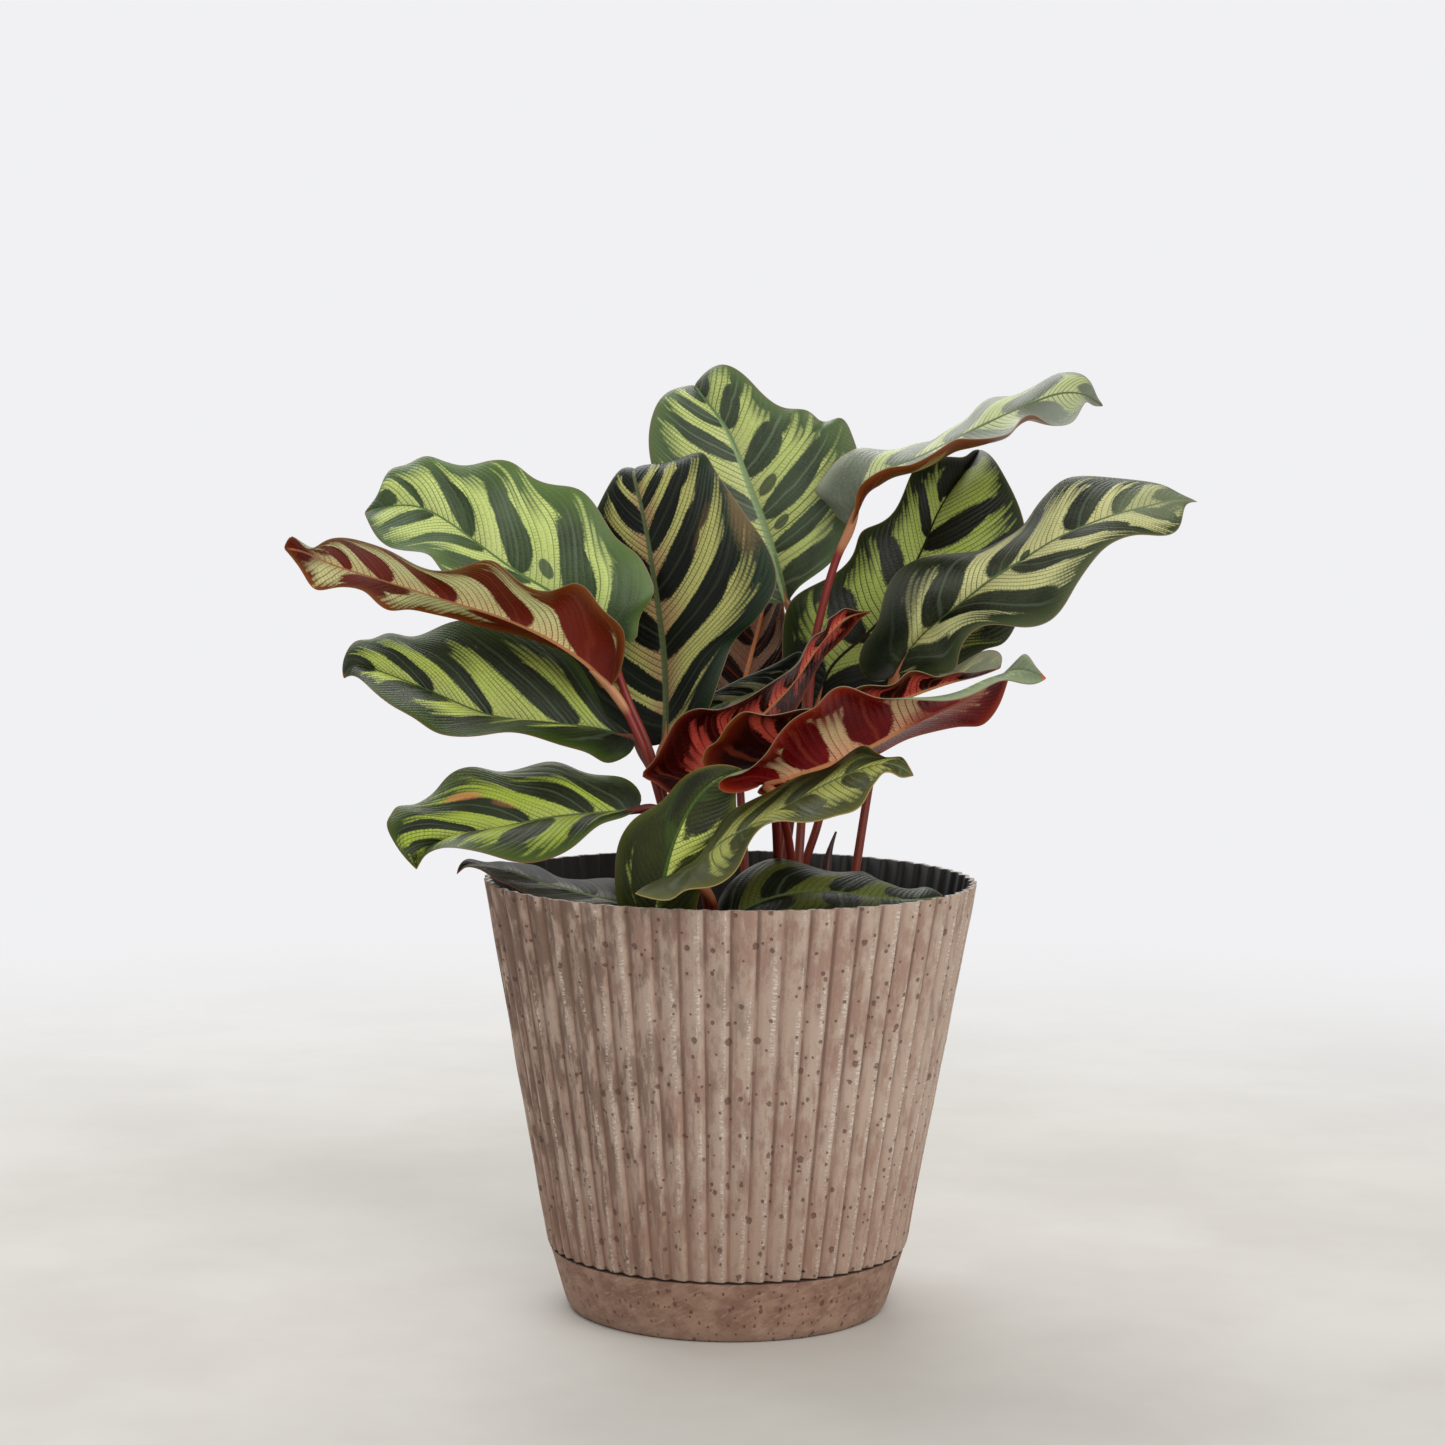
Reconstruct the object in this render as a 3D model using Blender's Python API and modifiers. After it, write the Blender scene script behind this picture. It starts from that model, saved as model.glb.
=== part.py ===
"""Peacock plant in its ribbed pot: eighteen patterned leaves on bare stalks, one rolled sprout,
potting soil, a fluted pot and the smooth foot that it stands in. Metres, +Z up, the origin
at the middle of the foot's underside, -Y towards the viewer."""

import math

import bmesh
import bpy
import numpy as np
from mathutils import Vector

MM = 0.001
MERGE_DISTANCE = 0.00005
SHARP_ANGLE = 35.0

# Pot, all in mm. The rim's width is the driving size, and the rest follows from it.
RIM_RADIUS = 85.0
RIM_HEIGHT = 148.5
SEAM_HEIGHT = 21.5
SEAM_RADIUS = 62.2
FOOT_RADIUS = 54.8
RIB_COUNT = 60
RIB_DEPTH = 1.3
RIB_SHAPE = (0.0, 0.5, 0.85, 1.0)
WALL = 1.9
FLOOR = 2.5
GAP = 0.3
SPIGOT_RADIUS = 56.0
SPIGOT_DEPTH = 6.5
DRAIN_COUNT = 4
DRAIN_SIDES = 12
DRAIN_RADIUS = 3.5
DRAIN_RING = 34.0
FOOT_STEPS = 72
FOOT_WALL = 2.2
FOOT_LIP_INSET = 0.8
FOOT_EDGE = 1.0
FOOT_HOLLOW_BEND = 3.0

# Soil, in mm.
SOIL_LEVEL = 124.0
SOIL_MOUND = 4.0
SOIL_SIDE_GAP = 0.5
SOIL_STEPS = 48
SOIL_RING_STEP = 12.0
LUMP = 0.4
LUMP_WAVES = 5
LUMP_SEED = 7

# Leaves, in mm.
BLADE_THICKNESS = 0.7
MIDRIB_THICKNESS = 1.2
BLADE_ROWS = 16
BLADE_COLUMNS = 3
FIRST_ROW = 0.02
LAST_ROW = 0.96
STALK_RADIUS = 1.5
STALK_STEP = 15.0
STALK_CLEARANCE = 0.5
JOINT_GAP = 0.7
NECK = 0.55
STALK_FOOT_SWELL = 0.25
STALK_JOINT_SWELL = 0.2
HOLE_POINTS = 3
FULL_ARCH_WIDTH = 20.0
CURVE_SAMPLES = 400
LEAF_SHARP_ANGLE = 50.0
SPROUT_RADII = (1.5, 1.6, 1.7, 1.8, 1.7, 1.2, 0.5)

# The leaves are laid out as they are seen from the front: each point is how far across and how
# far up it looks against the plane through the pot's axis, then its real depth behind that
# plane. They are seen from this point, which keeps a leaf's outline when its depth changes.
EYE = (-3.3, -1130.0, 289.0)


def leaf_table():
    """Each leaf's midrib, its two margins from stalk to tip, how far each half arches up, how fast
    each margin runs ahead of the midrib, and its stalk from the blade down into the soil. Where the
    blade's lobes close round the stalk, the joint gap is wider than usual."""
    leaves = {}
    leaves["leaf_top_centre"] = dict(
        middle=[(18.5, 243.5, 20), (15, 255, 19), (11, 268, 20), (6, 281, 22), (1, 294, 26), (-4, 304, 32),
                (-10, 312, 39), (-14, 317.5, 46)],
        left=[(10, 244, 16), (-2, 251, 15), (-14, 263, 18), (-24, 278, 22), (-29, 293, 26), (-29, 304, 31),
              (-26, 312, 36), (-21, 316, 41)],
        right=[(23, 249.5, 14), (31, 255.5, 12), (38, 264, 12), (42, 277, 14), (43, 290, 16), (40, 301, 17),
               (36, 306.8, 18), (30, 305.5, 22), (25, 309, 22), (17, 310, 26), (9, 315, 30), (3, 321, 34),
               (-4, 324.5, 38), (-10, 322, 43)],
        arch=(1.5, 1.5), lead=(0.8, 0.8),
        stalk=[(20.5, 239, 19), (21.5, 234, 20), (20.5, 226, 20), (20.5, 212, 18), (20, 190, 14),
               (18, 165, 8), (16, 140, 4), (15, 112, 2)])
    leaves["leaf_front_dark"] = dict(
        middle=[(-23, 195, -2), (-22.5, 208, -2), (-24, 230, 0), (-27, 250, 2), (-30, 268, 5),
                (-33, 281, 8), (-34.5, 287, 12), (-34, 289, 18)],
        left=[(-29, 195.5, 2), (-39, 202, 7), (-48, 214, 12), (-53, 229, 14.5), (-54, 246, 15.5),
              (-51, 263, 15), (-46.5, 276, 13), (-41.5, 285.5, 13), (-38, 289, 15.5)],
        right=[(-15, 197.5, -5), (-8.8, 205, -9), (-5.5, 214, -10), (-2.5, 223, -9), (1, 231, -8),
               (7, 237, -10), (12, 243.5, -11), (14.6, 250, -10), (13.8, 257, -7), (10, 265, -4),
               (5, 272, -1), (0, 279, 2), (-5, 286, 4), (-8, 291, 5), (-11, 294.5, 8),
               (-15, 294, 10.5), (-20, 292, 13), (-26, 290.5, 15.5), (-31, 290, 17)],
        arch=(1.5, 2.5), lead=(0.8, 0.8),
        stalk=[(-24.5, 190, -2), (-21, 183, -2), (-16, 170, -1), (-9, 145, 0), (-5, 112, 1)])
    leaves["leaf_left_upper"] = dict(
        middle=[(-39, 231, -6), (-47, 237, -6), (-60, 245, -4), (-74, 253, -2), (-86, 261.5, 0),
                (-97, 269.5, 3), (-108, 275, 6), (-118, 275, 10), (-126.5, 273, 15)],
        left=[(-43, 228, -8), (-54, 231, -10), (-68, 236, -12), (-82, 241, -14), (-94, 249, -16),
              (-100, 253.5, -17), (-104, 258.5, -14), (-110, 260, -10), (-117, 261, -4),
              (-122, 264.5, 3)],
        right=[(-33.5, 230, -7), (-32, 238, -7), (-27.5, 246, -7), (-28.5, 252, -5), (-33, 259.5, -2),
               (-40, 265, 1), (-46, 274, 4), (-53, 281.5, 7), (-61, 283, 9), (-69, 285.5, 11),
               (-76, 290.5, 11), (-84, 291, 12), (-92, 289.3, 14), (-100, 291, 14), (-106, 292.3, 14),
               (-112, 289.5, 15), (-117, 288, 15), (-120, 284, 14), (-122, 279, 14)],
        arch=(1.5, 2.5), lead=(0.8, 0.8), joint_gap=1.8,
        stalk=[(-39.7, 223, -11), (-38.3, 216, -15), (-34.5, 206.5, -18), (-31, 199, -19),
               (-27.8, 191, -20), (-24.5, 181, -20), (-20, 165, -19), (-15, 145, -16), (-12, 112, -12)])
    leaves["leaf_left_red"] = dict(
        middle=[(-42, 214, -22), (-49, 221, -22), (-57, 227, -22), (-67, 232.5, -20), (-80, 238, -19),
                (-95, 242.5, -18), (-110, 247, -18), (-125, 251.5, -18), (-139, 256, -18),
                (-147, 259.5, -20), (-154, 260.5, -25)],
        left=[(-39, 218.5, -28), (-37, 228, -34), (-38.5, 235, -38), (-45, 241, -40),
              (-50, 247.5, -40), (-55, 249.5, -38), (-62, 247, -38), (-70, 248, -40),
              (-76, 252, -42), (-82, 256.7, -42), (-88, 256.5, -40), (-95, 254, -38),
              (-102, 253.3, -38), (-109, 255, -38), (-117, 259.5, -38), (-125, 262.5, -38),
              (-133, 264.2, -36), (-140, 263, -33), (-146, 260.5, -29), (-151, 264.5, -27)],
        right=[(-45, 214, -15), (-49, 219.5, -7), (-55, 224.5, 0), (-61, 227.3, 3), (-68, 229.8, 3),
               (-75, 231.8, 2), (-85, 234, 1), (-95, 236.8, 0), (-105, 239, -1), (-112, 240, -2),
               (-118, 239.7, -4), (-123, 243, -6), (-127, 246.3, -8), (-136, 247.3, -10),
               (-143, 246.5, -12), (-147.5, 252, -16), (-151, 257, -20)],
        arch=(2.5, 1.5), lead=(0.8, 0.8),
        stalk=[(-39.5, 210.5, -23), (-36.5, 206, -24), (-33.5, 200, -25), (-30, 192.5, -26),
               (-27, 184, -26), (-22.5, 168, -25.5), (-17.5, 145, -21.5), (-14.5, 112, -19)])
    leaves["leaf_left_middle"] = dict(
        middle=[(-33, 196, -10), (-42, 198.5, -9), (-53, 200.3, -8), (-69, 201.8, -7), (-84, 204, -5),
                (-98, 209.5, -3), (-110, 214.5, 0), (-122, 219, 4), (-130, 220.5, 8),
                (-133.5, 216, 10)],
        left=[(-34.5, 192, -14), (-38.5, 189, -18), (-43.5, 188, -22), (-49, 191, -26),
              (-58, 193.7, -30), (-68, 196.8, -32), (-77, 198.2, -32), (-86, 197, -31),
              (-94, 196.5, -29), (-102, 198, -26), (-109, 202.5, -22), (-117, 207, -16),
              (-124, 212.5, -8), (-128, 216, 0), (-131, 217, 6)],
        right=[(-37, 199.5, -9), (-42.5, 204, -6), (-46.5, 211, -2), (-51, 219, 3), (-58, 227, 8),
               (-68, 232.5, 10), (-80, 235, 9), (-92, 236.5, 10), (-100, 234.5, 11),
               (-108, 231, 11), (-113, 231, 11), (-118.5, 231.7, 11), (-124, 229.7, 11),
               (-129, 229, 10), (-132.5, 225, 11), (-133.8, 220, 11)],
        arch=(2, 2.5), lead=(0.8, 0.8),
        stalk=[(-31, 192, -11), (-28.5, 187.5, -12), (-25.5, 180, -12), (-21, 166, -11),
               (-15, 145, -8), (-12, 112, -5)])
    leaves["leaf_left_lower"] = dict(
        middle=[(-32, 172, -34), (-38, 171, -34), (-46, 170.3, -33), (-56, 169.5, -32),
                (-66, 168, -31), (-79, 165.2, -30), (-88, 163.5, -29), (-97, 161, -28),
                (-103, 158.8, -27), (-107, 154.8, -26.5), (-108.3, 150.3, -27)],
        left=[(-37, 169.2, -38), (-44, 167, -44), (-49, 163.5, -49), (-54, 159, -54),
              (-60, 155.5, -57), (-68, 153.2, -58), (-75, 153.5, -57), (-84, 156, -53),
              (-93, 157.8, -47), (-100, 157.8, -40), (-105, 155.5, -35), (-107, 152.8, -31.5)],
        right=[(-31, 176, -30), (-33, 180, -26), (-38, 183, -22), (-46, 183.7, -18), (-52, 185, -16),
               (-58, 187.5, -14), (-64, 188, -13), (-72, 185.8, -14), (-80, 184.5, -15),
               (-87, 185.9, -14), (-93, 185.4, -14), (-98, 182.3, -15), (-102, 177.5, -16),
               (-106, 174.3, -18), (-110, 172.7, -19), (-115, 172, -20), (-117, 169.5, -22),
               (-118.5, 166.3, -24), (-116.5, 160.5, -27), (-113, 155.3, -29)],
        arch=(2, 2), lead=(0.8, 0.8), joint_gap=0.9,
        stalk=[(-27.5, 172.3, -34), (-23, 170, -33), (-18, 160, -30), (-14, 145, -28),
               (-11, 112, -26)])
    leaves["leaf_front_bright"] = dict(
        middle=[(-25, 127, -56), (-24.5, 138, -58), (-22.5, 150, -59), (-19.5, 161, -59),
                (-15, 171, -58), (-8, 180, -58), (4, 186.2, -57.5)],
        left=[(-33, 129, -52), (-38.5, 138, -48), (-39.8, 150, -46), (-38.3, 161, -46),
              (-32.5, 169.3, -47), (-25, 174, -48), (-20, 179.5, -50), (-15, 184.3, -53.5),
              (-9, 187, -55.5), (-2, 187.7, -57)],
        right=[(-16, 129, -56), (-12, 136, -57), (-10.5, 143, -57), (-5, 152, -58), (0, 161, -58),
               (1.8, 170, -57), (1.6, 178, -57), (2.5, 183, -56)],
        arch=(1.5, 1.5), lead=(0.8, 0.8),
        stalk=[(-24, 123.5, -54), (-22, 118, -51), (-20, 108, -48)])
    leaves["leaf_front_twisted"] = dict(
        middle=[(-14, 149, -74), (-9, 154, -75), (-4, 160, -76), (5, 165.5, -77), (15, 171, -78),
                (25, 177, -80), (35, 182.5, -82), (46, 187, -84), (55, 188.5, -86),
                (62.8, 184.6, -88)],
        left=[(-19, 148.8, -70), (-17.5, 151, -66), (-12, 154.5, -65), (-8, 160, -64),
              (-4.5, 166, -63), (-1, 171, -62), (3, 173.5, -62), (9, 176.5, -62), (15, 179.5, -62),
              (22, 183.5, -63), (30, 186, -65), (36, 188.5, -67), (41, 192.5, -69),
              (45.5, 194.7, -71), (50, 192.3, -74), (54, 190.6, -77), (58, 191, -81),
              (60.5, 188.5, -85)],
        right=[(-22, 146.5, -79), (-29, 144.3, -83), (-33, 143, -87), (-29, 141.5, -91),
               (-24, 140.5, -93), (-20, 141, -94), (-16, 143.8, -94), (-11, 144.7, -94),
               (-6, 145.5, -95), (-1, 148.2, -95), (3, 153, -95), (6, 160, -95), (9.5, 165.2, -96),
               (13, 167.5, -96), (18, 168.4, -97), (24, 168, -97), (31, 168.8, -98),
               (37, 170.6, -98), (42, 172, -98), (45.5, 175, -97), (47.5, 179, -95),
               (50.5, 183.5, -93), (53, 185.6, -91), (56, 185, -90), (58.5, 183.8, -89)],
        arch=(1.5, 1.5), lead=(0.85, 0.6), joint_gap=1.8,
        stalk=[(-10.5, 146, -73), (-7, 142, -70), (-5.5, 137, -64), (-5, 129, -57), (-5, 110, -51)])
    leaves["leaf_front_low"] = dict(
        middle=[(-2, 133, -50), (8, 139, -52), (20, 143, -54), (34, 144, -54), (48, 142.5, -51),
                (60, 141.5, -46), (68, 142, -40), (73.5, 143, -33)],
        left=[(-4.5, 138, -46), (-1.5, 145, -43), (3, 149.7, -41), (8, 153, -40), (14, 155.2, -39.5),
              (20, 155, -39), (27, 153, -38), (33, 151.2, -37), (40, 150.9, -35), (45, 151, -33),
              (49, 149, -32), (53, 146.6, -31), (58, 145, -31), (63, 145.2, -31), (67, 146, -31.5),
              (70.5, 145, -32)],
        right=[(6, 133, -58), (18, 134, -66), (32, 134, -68), (46, 135, -63), (58, 137, -54),
               (66.5, 140, -44)],
        arch=(2.5, 2), lead=(0.8, 0.8),
        stalk=[(-2, 129.5, -47), (-1, 122, -43), (0, 108, -40)])
    leaves["leaf_left_rim"] = dict(
        middle=[(-27, 136, -40), (-36, 139, -41), (-46, 141.5, -42), (-58, 144.6, -40),
                (-68, 147.5, -35), (-78, 150.8, -29), (-86, 152.4, -24), (-91, 152, -21),
                (-94.5, 148.8, -19)],
        left=[(-34, 134, -46), (-44, 135, -50), (-54, 136.5, -49), (-63, 138.8, -44),
              (-70, 141.8, -39), (-76, 145, -34), (-81, 147.2, -32), (-85, 149.8, -29),
              (-89, 151.3, -25), (-92, 151, -22)],
        right=[(-29, 142, -34), (-35, 146.5, -28), (-42, 148, -24), (-50, 147.4, -22),
               (-56, 147.4, -20), (-61, 148.8, -18), (-66, 151.6, -16), (-72, 152.8, -14),
               (-79, 153.2, -13), (-85, 153, -14), (-90, 154.2, -16), (-93, 152.5, -18)],
        arch=(1, 1), lead=(0.85, 0.8),
        stalk=[(-23, 132.5, -37), (-20, 125, -34), (-18, 108, -32)])
    leaves["leaf_right_red"] = dict(
        middle=[(11, 181, -56), (18, 183, -57), (26, 185.5, -58), (36, 189, -58), (46, 193.5, -57),
                (55, 198.5, -56), (65, 204, -54), (75, 208.8, -53), (84, 213.5, -54), (92, 219, -57),
                (99, 221.5, -59), (107.8, 218.6, -60)],
        left=[(9, 178, -53), (14, 177.5, -49), (22, 179, -44), (34, 183, -38), (44, 188.5, -34),
              (52, 192.7, -33), (60, 197, -33), (70, 200, -35), (79, 201.7, -37), (85, 202, -40),
              (89, 205, -44), (92, 210, -48), (94, 216, -50), (96.5, 223, -52),
              (100.3, 226.8, -55), (103.5, 223.2, -58)],
        right=[(4, 178.3, -61), (-3.5, 178.6, -66), (-4.6, 181, -68), (-2, 183.3, -69),
               (3, 184.6, -70), (8, 187.8, -71), (12, 192, -72), (15.5, 197.5, -73),
               (19.5, 202.3, -74), (24, 205.6, -75), (28.5, 208, -76), (32, 212, -77),
               (36, 214.8, -77), (40, 214.9, -76), (45, 213, -75), (50, 211.3, -74),
               (57, 211, -73), (66, 210.6, -73), (76, 210.8, -72), (85, 214, -70),
               (92.5, 217.6, -68), (98, 217, -66), (103.5, 216.5, -63)],
        arch=(1.5, 3), lead=(0.9, 0.7), joint_gap=3.4,
        stalk=[(15, 178, -57.7), (15.6, 172, -55), (15.6, 165, -46), (16, 156, -35), (16, 148, -28),
               (16, 135, -22.5), (15.5, 110, -20)])
    leaves["leaf_middle_red"] = dict(
        middle=[(-14, 179, -30), (-9, 186, -31), (-1, 194, -31), (8, 203, -30), (16, 211, -28),
                (23, 219.5, -26), (29, 228.5, -24), (35.5, 236, -22), (41, 239.8, -21),
                (48, 241.2, -20)],
        left=[(-8, 178, -25), (0, 181, -18), (9, 189, -11), (17, 199, -8), (23, 209, -8),
              (27.5, 218, -10), (31, 224.5, -13), (35.5, 229.3, -16), (40, 234, -18),
              (43.3, 238, -19.5)],
        right=[(-20, 177, -33), (-26, 181, -37), (-30.8, 183.7, -40), (-28, 187.5, -41),
               (-25, 192, -42), (-22, 198, -43), (-19, 203, -44), (-15, 206, -44),
               (-10.5, 207, -43), (-6, 206.6, -42), (0, 208.2, -42), (6, 211.3, -42),
               (12, 215.2, -41), (18, 219.2, -40), (22.5, 222.8, -38), (24.5, 227, -36),
               (28, 232.5, -33), (31.5, 234.6, -31), (32.5, 237.8, -29), (35, 239.8, -27),
               (38, 241.8, -25), (41.5, 241.3, -23), (45, 241, -21)],
        arch=(1.5, 2), lead=(0.85, 0.7),
        stalk=[(-13.5, 173, -29), (-10, 155, -25), (-7, 135, -21), (-5, 112, -18)])
    leaves["leaf_inner_red"] = dict(
        middle=[(13, 187, -46), (22, 192, -46), (33, 199, -45), (45, 205.5, -43), (55, 209.5, -42),
                (62, 212.3, -41), (70, 215.3, -40), (77, 217.5, -39), (84, 219.2, -38),
                (91.8, 222, -36)],
        left=[(17, 185.5, -40), (28, 193, -31), (42, 203, -25), (54, 211.5, -22), (64, 216, -20),
              (74, 221, -19), (80, 224.5, -20), (85, 227.3, -23), (89.5, 228, -26),
              (92.2, 226, -31)],
        right=[(4, 184, -47), (-5, 184, -48), (-10, 187.5, -49), (-8.5, 193.5, -50),
               (-5.5, 195.5, -51), (-3, 199.5, -52.5), (0, 203.3, -53.5), (4, 206, -54),
               (8.5, 205.4, -54), (13, 204.9, -53), (19, 206, -52), (25, 207.2, -51),
               (31, 207.5, -50), (36, 210.5, -49), (41, 213.8, -48), (46, 215.6, -47),
               (52, 215.4, -46), (56, 216.5, -46), (59.5, 219.8, -46), (63, 220.7, -45),
               (67, 219.6, -44), (71, 218.8, -42), (77, 220.3, -43), (82, 220.4, -43),
               (87, 221.3, -41)],
        arch=(-1, 2), lead=(0.9, 0.7), joint_gap=2.6,
        stalk=[(15, 180, -42), (18, 170, -34), (20.5, 158, -27), (21, 140, -20), (21, 110, -16)])
    leaves["leaf_back_brown"] = dict(
        middle=[(2, 206, 24), (4, 216, 27), (7, 228, 33), (10, 240, 41), (12, 250, 50),
                (13, 260, 61), (13, 268, 74)],
        left=[(9, 208, 22), (16, 217, 25), (19.3, 228, 30), (19, 236, 35), (17.5, 241, 39),
              (18, 252, 48), (17, 262, 60)],
        right=[(-6, 208, 22), (-13, 218, 26), (-16, 232, 33), (-13, 247, 44), (-5, 260, 58)],
        arch=(1.5, 1.5), lead=(0.8, 0.8),
        stalk=[(2, 199, 22), (3, 180, 18), (5, 150, 12), (7, 112, 9)])
    leaves["leaf_middle_dark"] = dict(
        middle=[(24, 219, 3), (17, 216, 3), (8, 212.5, 3), (-2, 209, 4), (-12, 205, 5),
                (-20, 201, 5)],
        left=[(23, 213, -3), (16, 210, -6), (7, 206, -7), (-2, 203, -6), (-10, 201, -2)],
        right=[(25, 223.5, 4), (23.5, 226.8, 5), (17, 224, 6), (9, 220, 7), (2, 217, 8),
               (-5, 213.3, 8), (-12, 209, 7.5)],
        arch=(1, 1), lead=(0.8, 0.8), joint_gap=1.2,
        stalk=[(25.5, 214, 7.5), (25, 205, 7), (23, 190, 4), (20, 165, 0), (17, 140, -3), (15, 110, -6)])
    leaves["leaf_back_right"] = dict(
        middle=[(30, 213, 10), (33, 220, 10), (40.7, 228.5, 12), (50.6, 238, 15), (58, 250, 19),
                (64, 261.5, 24), (68, 271.5, 29), (73, 281, 35), (79.8, 290.5, 44),
                (83.5, 296.6, 54)],
        left=[(24, 214, 12), (19.5, 222, 14), (17, 233, 15.5), (18.5, 242, 16), (22, 246.5, 17),
              (28, 250, 18), (35, 254, 19.5), (41, 261, 20), (43.5, 268, 21), (49, 270.8, 22),
              (54, 274.5, 23), (57.5, 281, 26), (60, 287.5, 29), (62.5, 290.8, 31), (68, 293, 35),
              (73, 294, 39), (78, 294, 44), (81, 296, 49)],
        right=[(36, 210, 6), (48, 211.5, 2), (60, 215.5, 0), (70, 218.5, 1), (79, 222, 3),
               (86, 228, 5), (92, 230, 8), (96.3, 235.5, 11), (100, 246, 16), (101.5, 258, 21),
               (99.5, 270, 26), (97, 278, 31), (93, 286, 36), (89, 292.5, 42), (86, 295.5, 48)],
        arch=(2, 3), lead=(0.8, 0.8),
        stalk=[(30.5, 206, 9), (32, 187, 5), (30, 168, 1), (26, 155, 1), (24, 140, 3),
               (23, 110, 5)])
    leaves["leaf_right"] = dict(
        middle=[(56, 219.5, -14), (60, 227, -15), (67, 235, -16), (77, 243, -17), (88, 252, -18),
                (98, 258.5, -18), (108, 265, -17), (119, 270.5, -15), (131, 275, -12),
                (142, 278, -8), (151, 280, -5), (158.5, 279.5, -2)],
        left=[(51, 217, -16.5), (46.5, 217.8, -21), (43.5, 222, -25), (44.5, 229, -26),
              (49, 236, -26), (51, 244, -25), (54, 252, -22), (59, 257, -18), (66, 259.8, -12),
              (75, 261, -6), (85, 262.5, -1), (92, 266, 2), (98.5, 270.5, 4), (103, 277, 5),
              (108, 283, 6), (113, 286.8, 6), (120, 287.9, 6), (130, 287.3, 5), (140, 286.3, 4),
              (147, 284.8, 2), (152, 282.3, 0)],
        right=[(62, 219, -19), (68, 219.5, -26.5), (74, 220, -32), (76.5, 221.5, -33),
               (77.5, 226, -33), (80, 232, -33), (86, 236.3, -32), (94, 236.5, -34),
               (101, 236, -35), (108, 238, -35), (113, 243, -34), (117, 250, -31),
               (121.5, 257, -28), (126, 262.5, -25), (131, 266, -22), (138, 268, -19),
               (145, 267.8, -16), (150, 268.6, -13), (152.8, 272.5, -9), (154.3, 278.3, -5)],
        arch=(2, 2.5), lead=(0.8, 0.85), joint_gap=1.5,
        stalk=[(54, 212, -12), (51, 200, -10), (48.5, 188, -10), (46, 172, -12), (43, 151, -14),
               (41, 135, -14), (40, 110, -14)])
    leaves["leaf_top_right"] = dict(
        middle=[(40, 270.5, 2), (41.5, 277, 1), (45, 284, 0), (52, 289.5, 2), (61, 293, 6),
                (71, 298, 11), (82, 303.7, 17), (92, 308.5, 23), (102, 313, 30), (111, 316, 37),
                (119, 315.5, 44), (125.5, 311.8, 52)],
        left=[(36.5, 271.5, 6), (31.5, 278, 8), (27.3, 281.5, 9), (30, 286, 9), (34, 291.5, 9.5),
              (39, 295.3, 10.5), (43, 296.7, 14), (50, 296.1, 19), (57, 296.3, 24),
              (63, 297.8, 28), (68, 298.8, 31), (73, 302.6, 34), (79, 305.8, 37),
              (82.5, 310.5, 39), (87, 314, 41), (93, 314.6, 43), (99, 316, 46), (105, 320, 48),
              (110, 322.7, 50), (117, 322.7, 52), (121, 319.5, 54), (123.3, 314.5, 55)],
        right=[(41, 275, -6), (41.7, 281, -12), (44, 285, -17), (48, 288, -20), (53, 290.2, -21),
               (59, 291, -20), (64, 293, -18), (69, 296, -16), (75, 299.8, -13), (79, 300.2, -10),
               (85, 300.3, -6), (91, 301.3, -2), (94.5, 303, 1), (97, 306.5, 4), (100, 308.5, 7),
               (103, 308, 11), (107, 305.6, 16), (111, 305, 21), (115, 306.3, 27),
               (117.3, 309.5, 32), (119.5, 313, 38), (122, 312, 46)],
        arch=(2, -3.5), lead=(0.7, 0.95),
        stalk=[(38.3, 266, 2), (36, 261, 2), (33, 252, 1), (30.5, 242, 0), (28, 230, -1),
               (27, 220, -2), (26, 205, -3), (25, 185, -4), (24, 165, -6), (23, 145, -9),
               (22, 110, -11)])
    return leaves


SPROUT = [(31, 110, -10), (32, 138, -8), (33, 150, -7), (34, 158, -6), (36.2, 165, -5)]


def start_clean():
    for item in list(bpy.data.objects):
        bpy.data.objects.remove(item)


def new_collection(name):
    group = bpy.data.collections.new(name)
    bpy.context.scene.collection.children.link(group)
    return group


def make_material(name, colour, roughness):
    material = bpy.data.materials.new(name)
    material.use_nodes = True
    shader = material.node_tree.nodes["Principled BSDF"]
    shader.inputs["Base Color"].default_value = (*colour, 1.0)
    shader.inputs["Roughness"].default_value = roughness
    shader.inputs["Metallic"].default_value = 0.0
    material.diffuse_color = (*colour, 1.0)
    return material


def add_object(name, mesh, material, group):
    item = bpy.data.objects.new(name, mesh)
    if material is not None:
        item.data.materials.append(material)
    group.objects.link(item)
    return item


def apply_modifiers(item):
    """Bake the object's modifiers into a fresh mesh."""
    depsgraph = bpy.context.evaluated_depsgraph_get()
    mesh = bpy.data.meshes.new_from_object(item.evaluated_get(depsgraph))
    item.modifiers.clear()
    item.data = mesh


def cut_away(item, name, cutters):
    cut = item.modifiers.new(name, "BOOLEAN")
    cut.operation = "DIFFERENCE"
    cut.operand_type = "COLLECTION"
    cut.collection = cutters
    cut.solver = "EXACT"
    apply_modifiers(item)


def hide_cutter(item):
    item.hide_render = True
    item.display_type = "WIRE"


def shade_round(item, angle=SHARP_ANGLE):
    item.data.shade_smooth()
    item.data.set_sharp_from_angle(angle=math.radians(angle))


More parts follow.
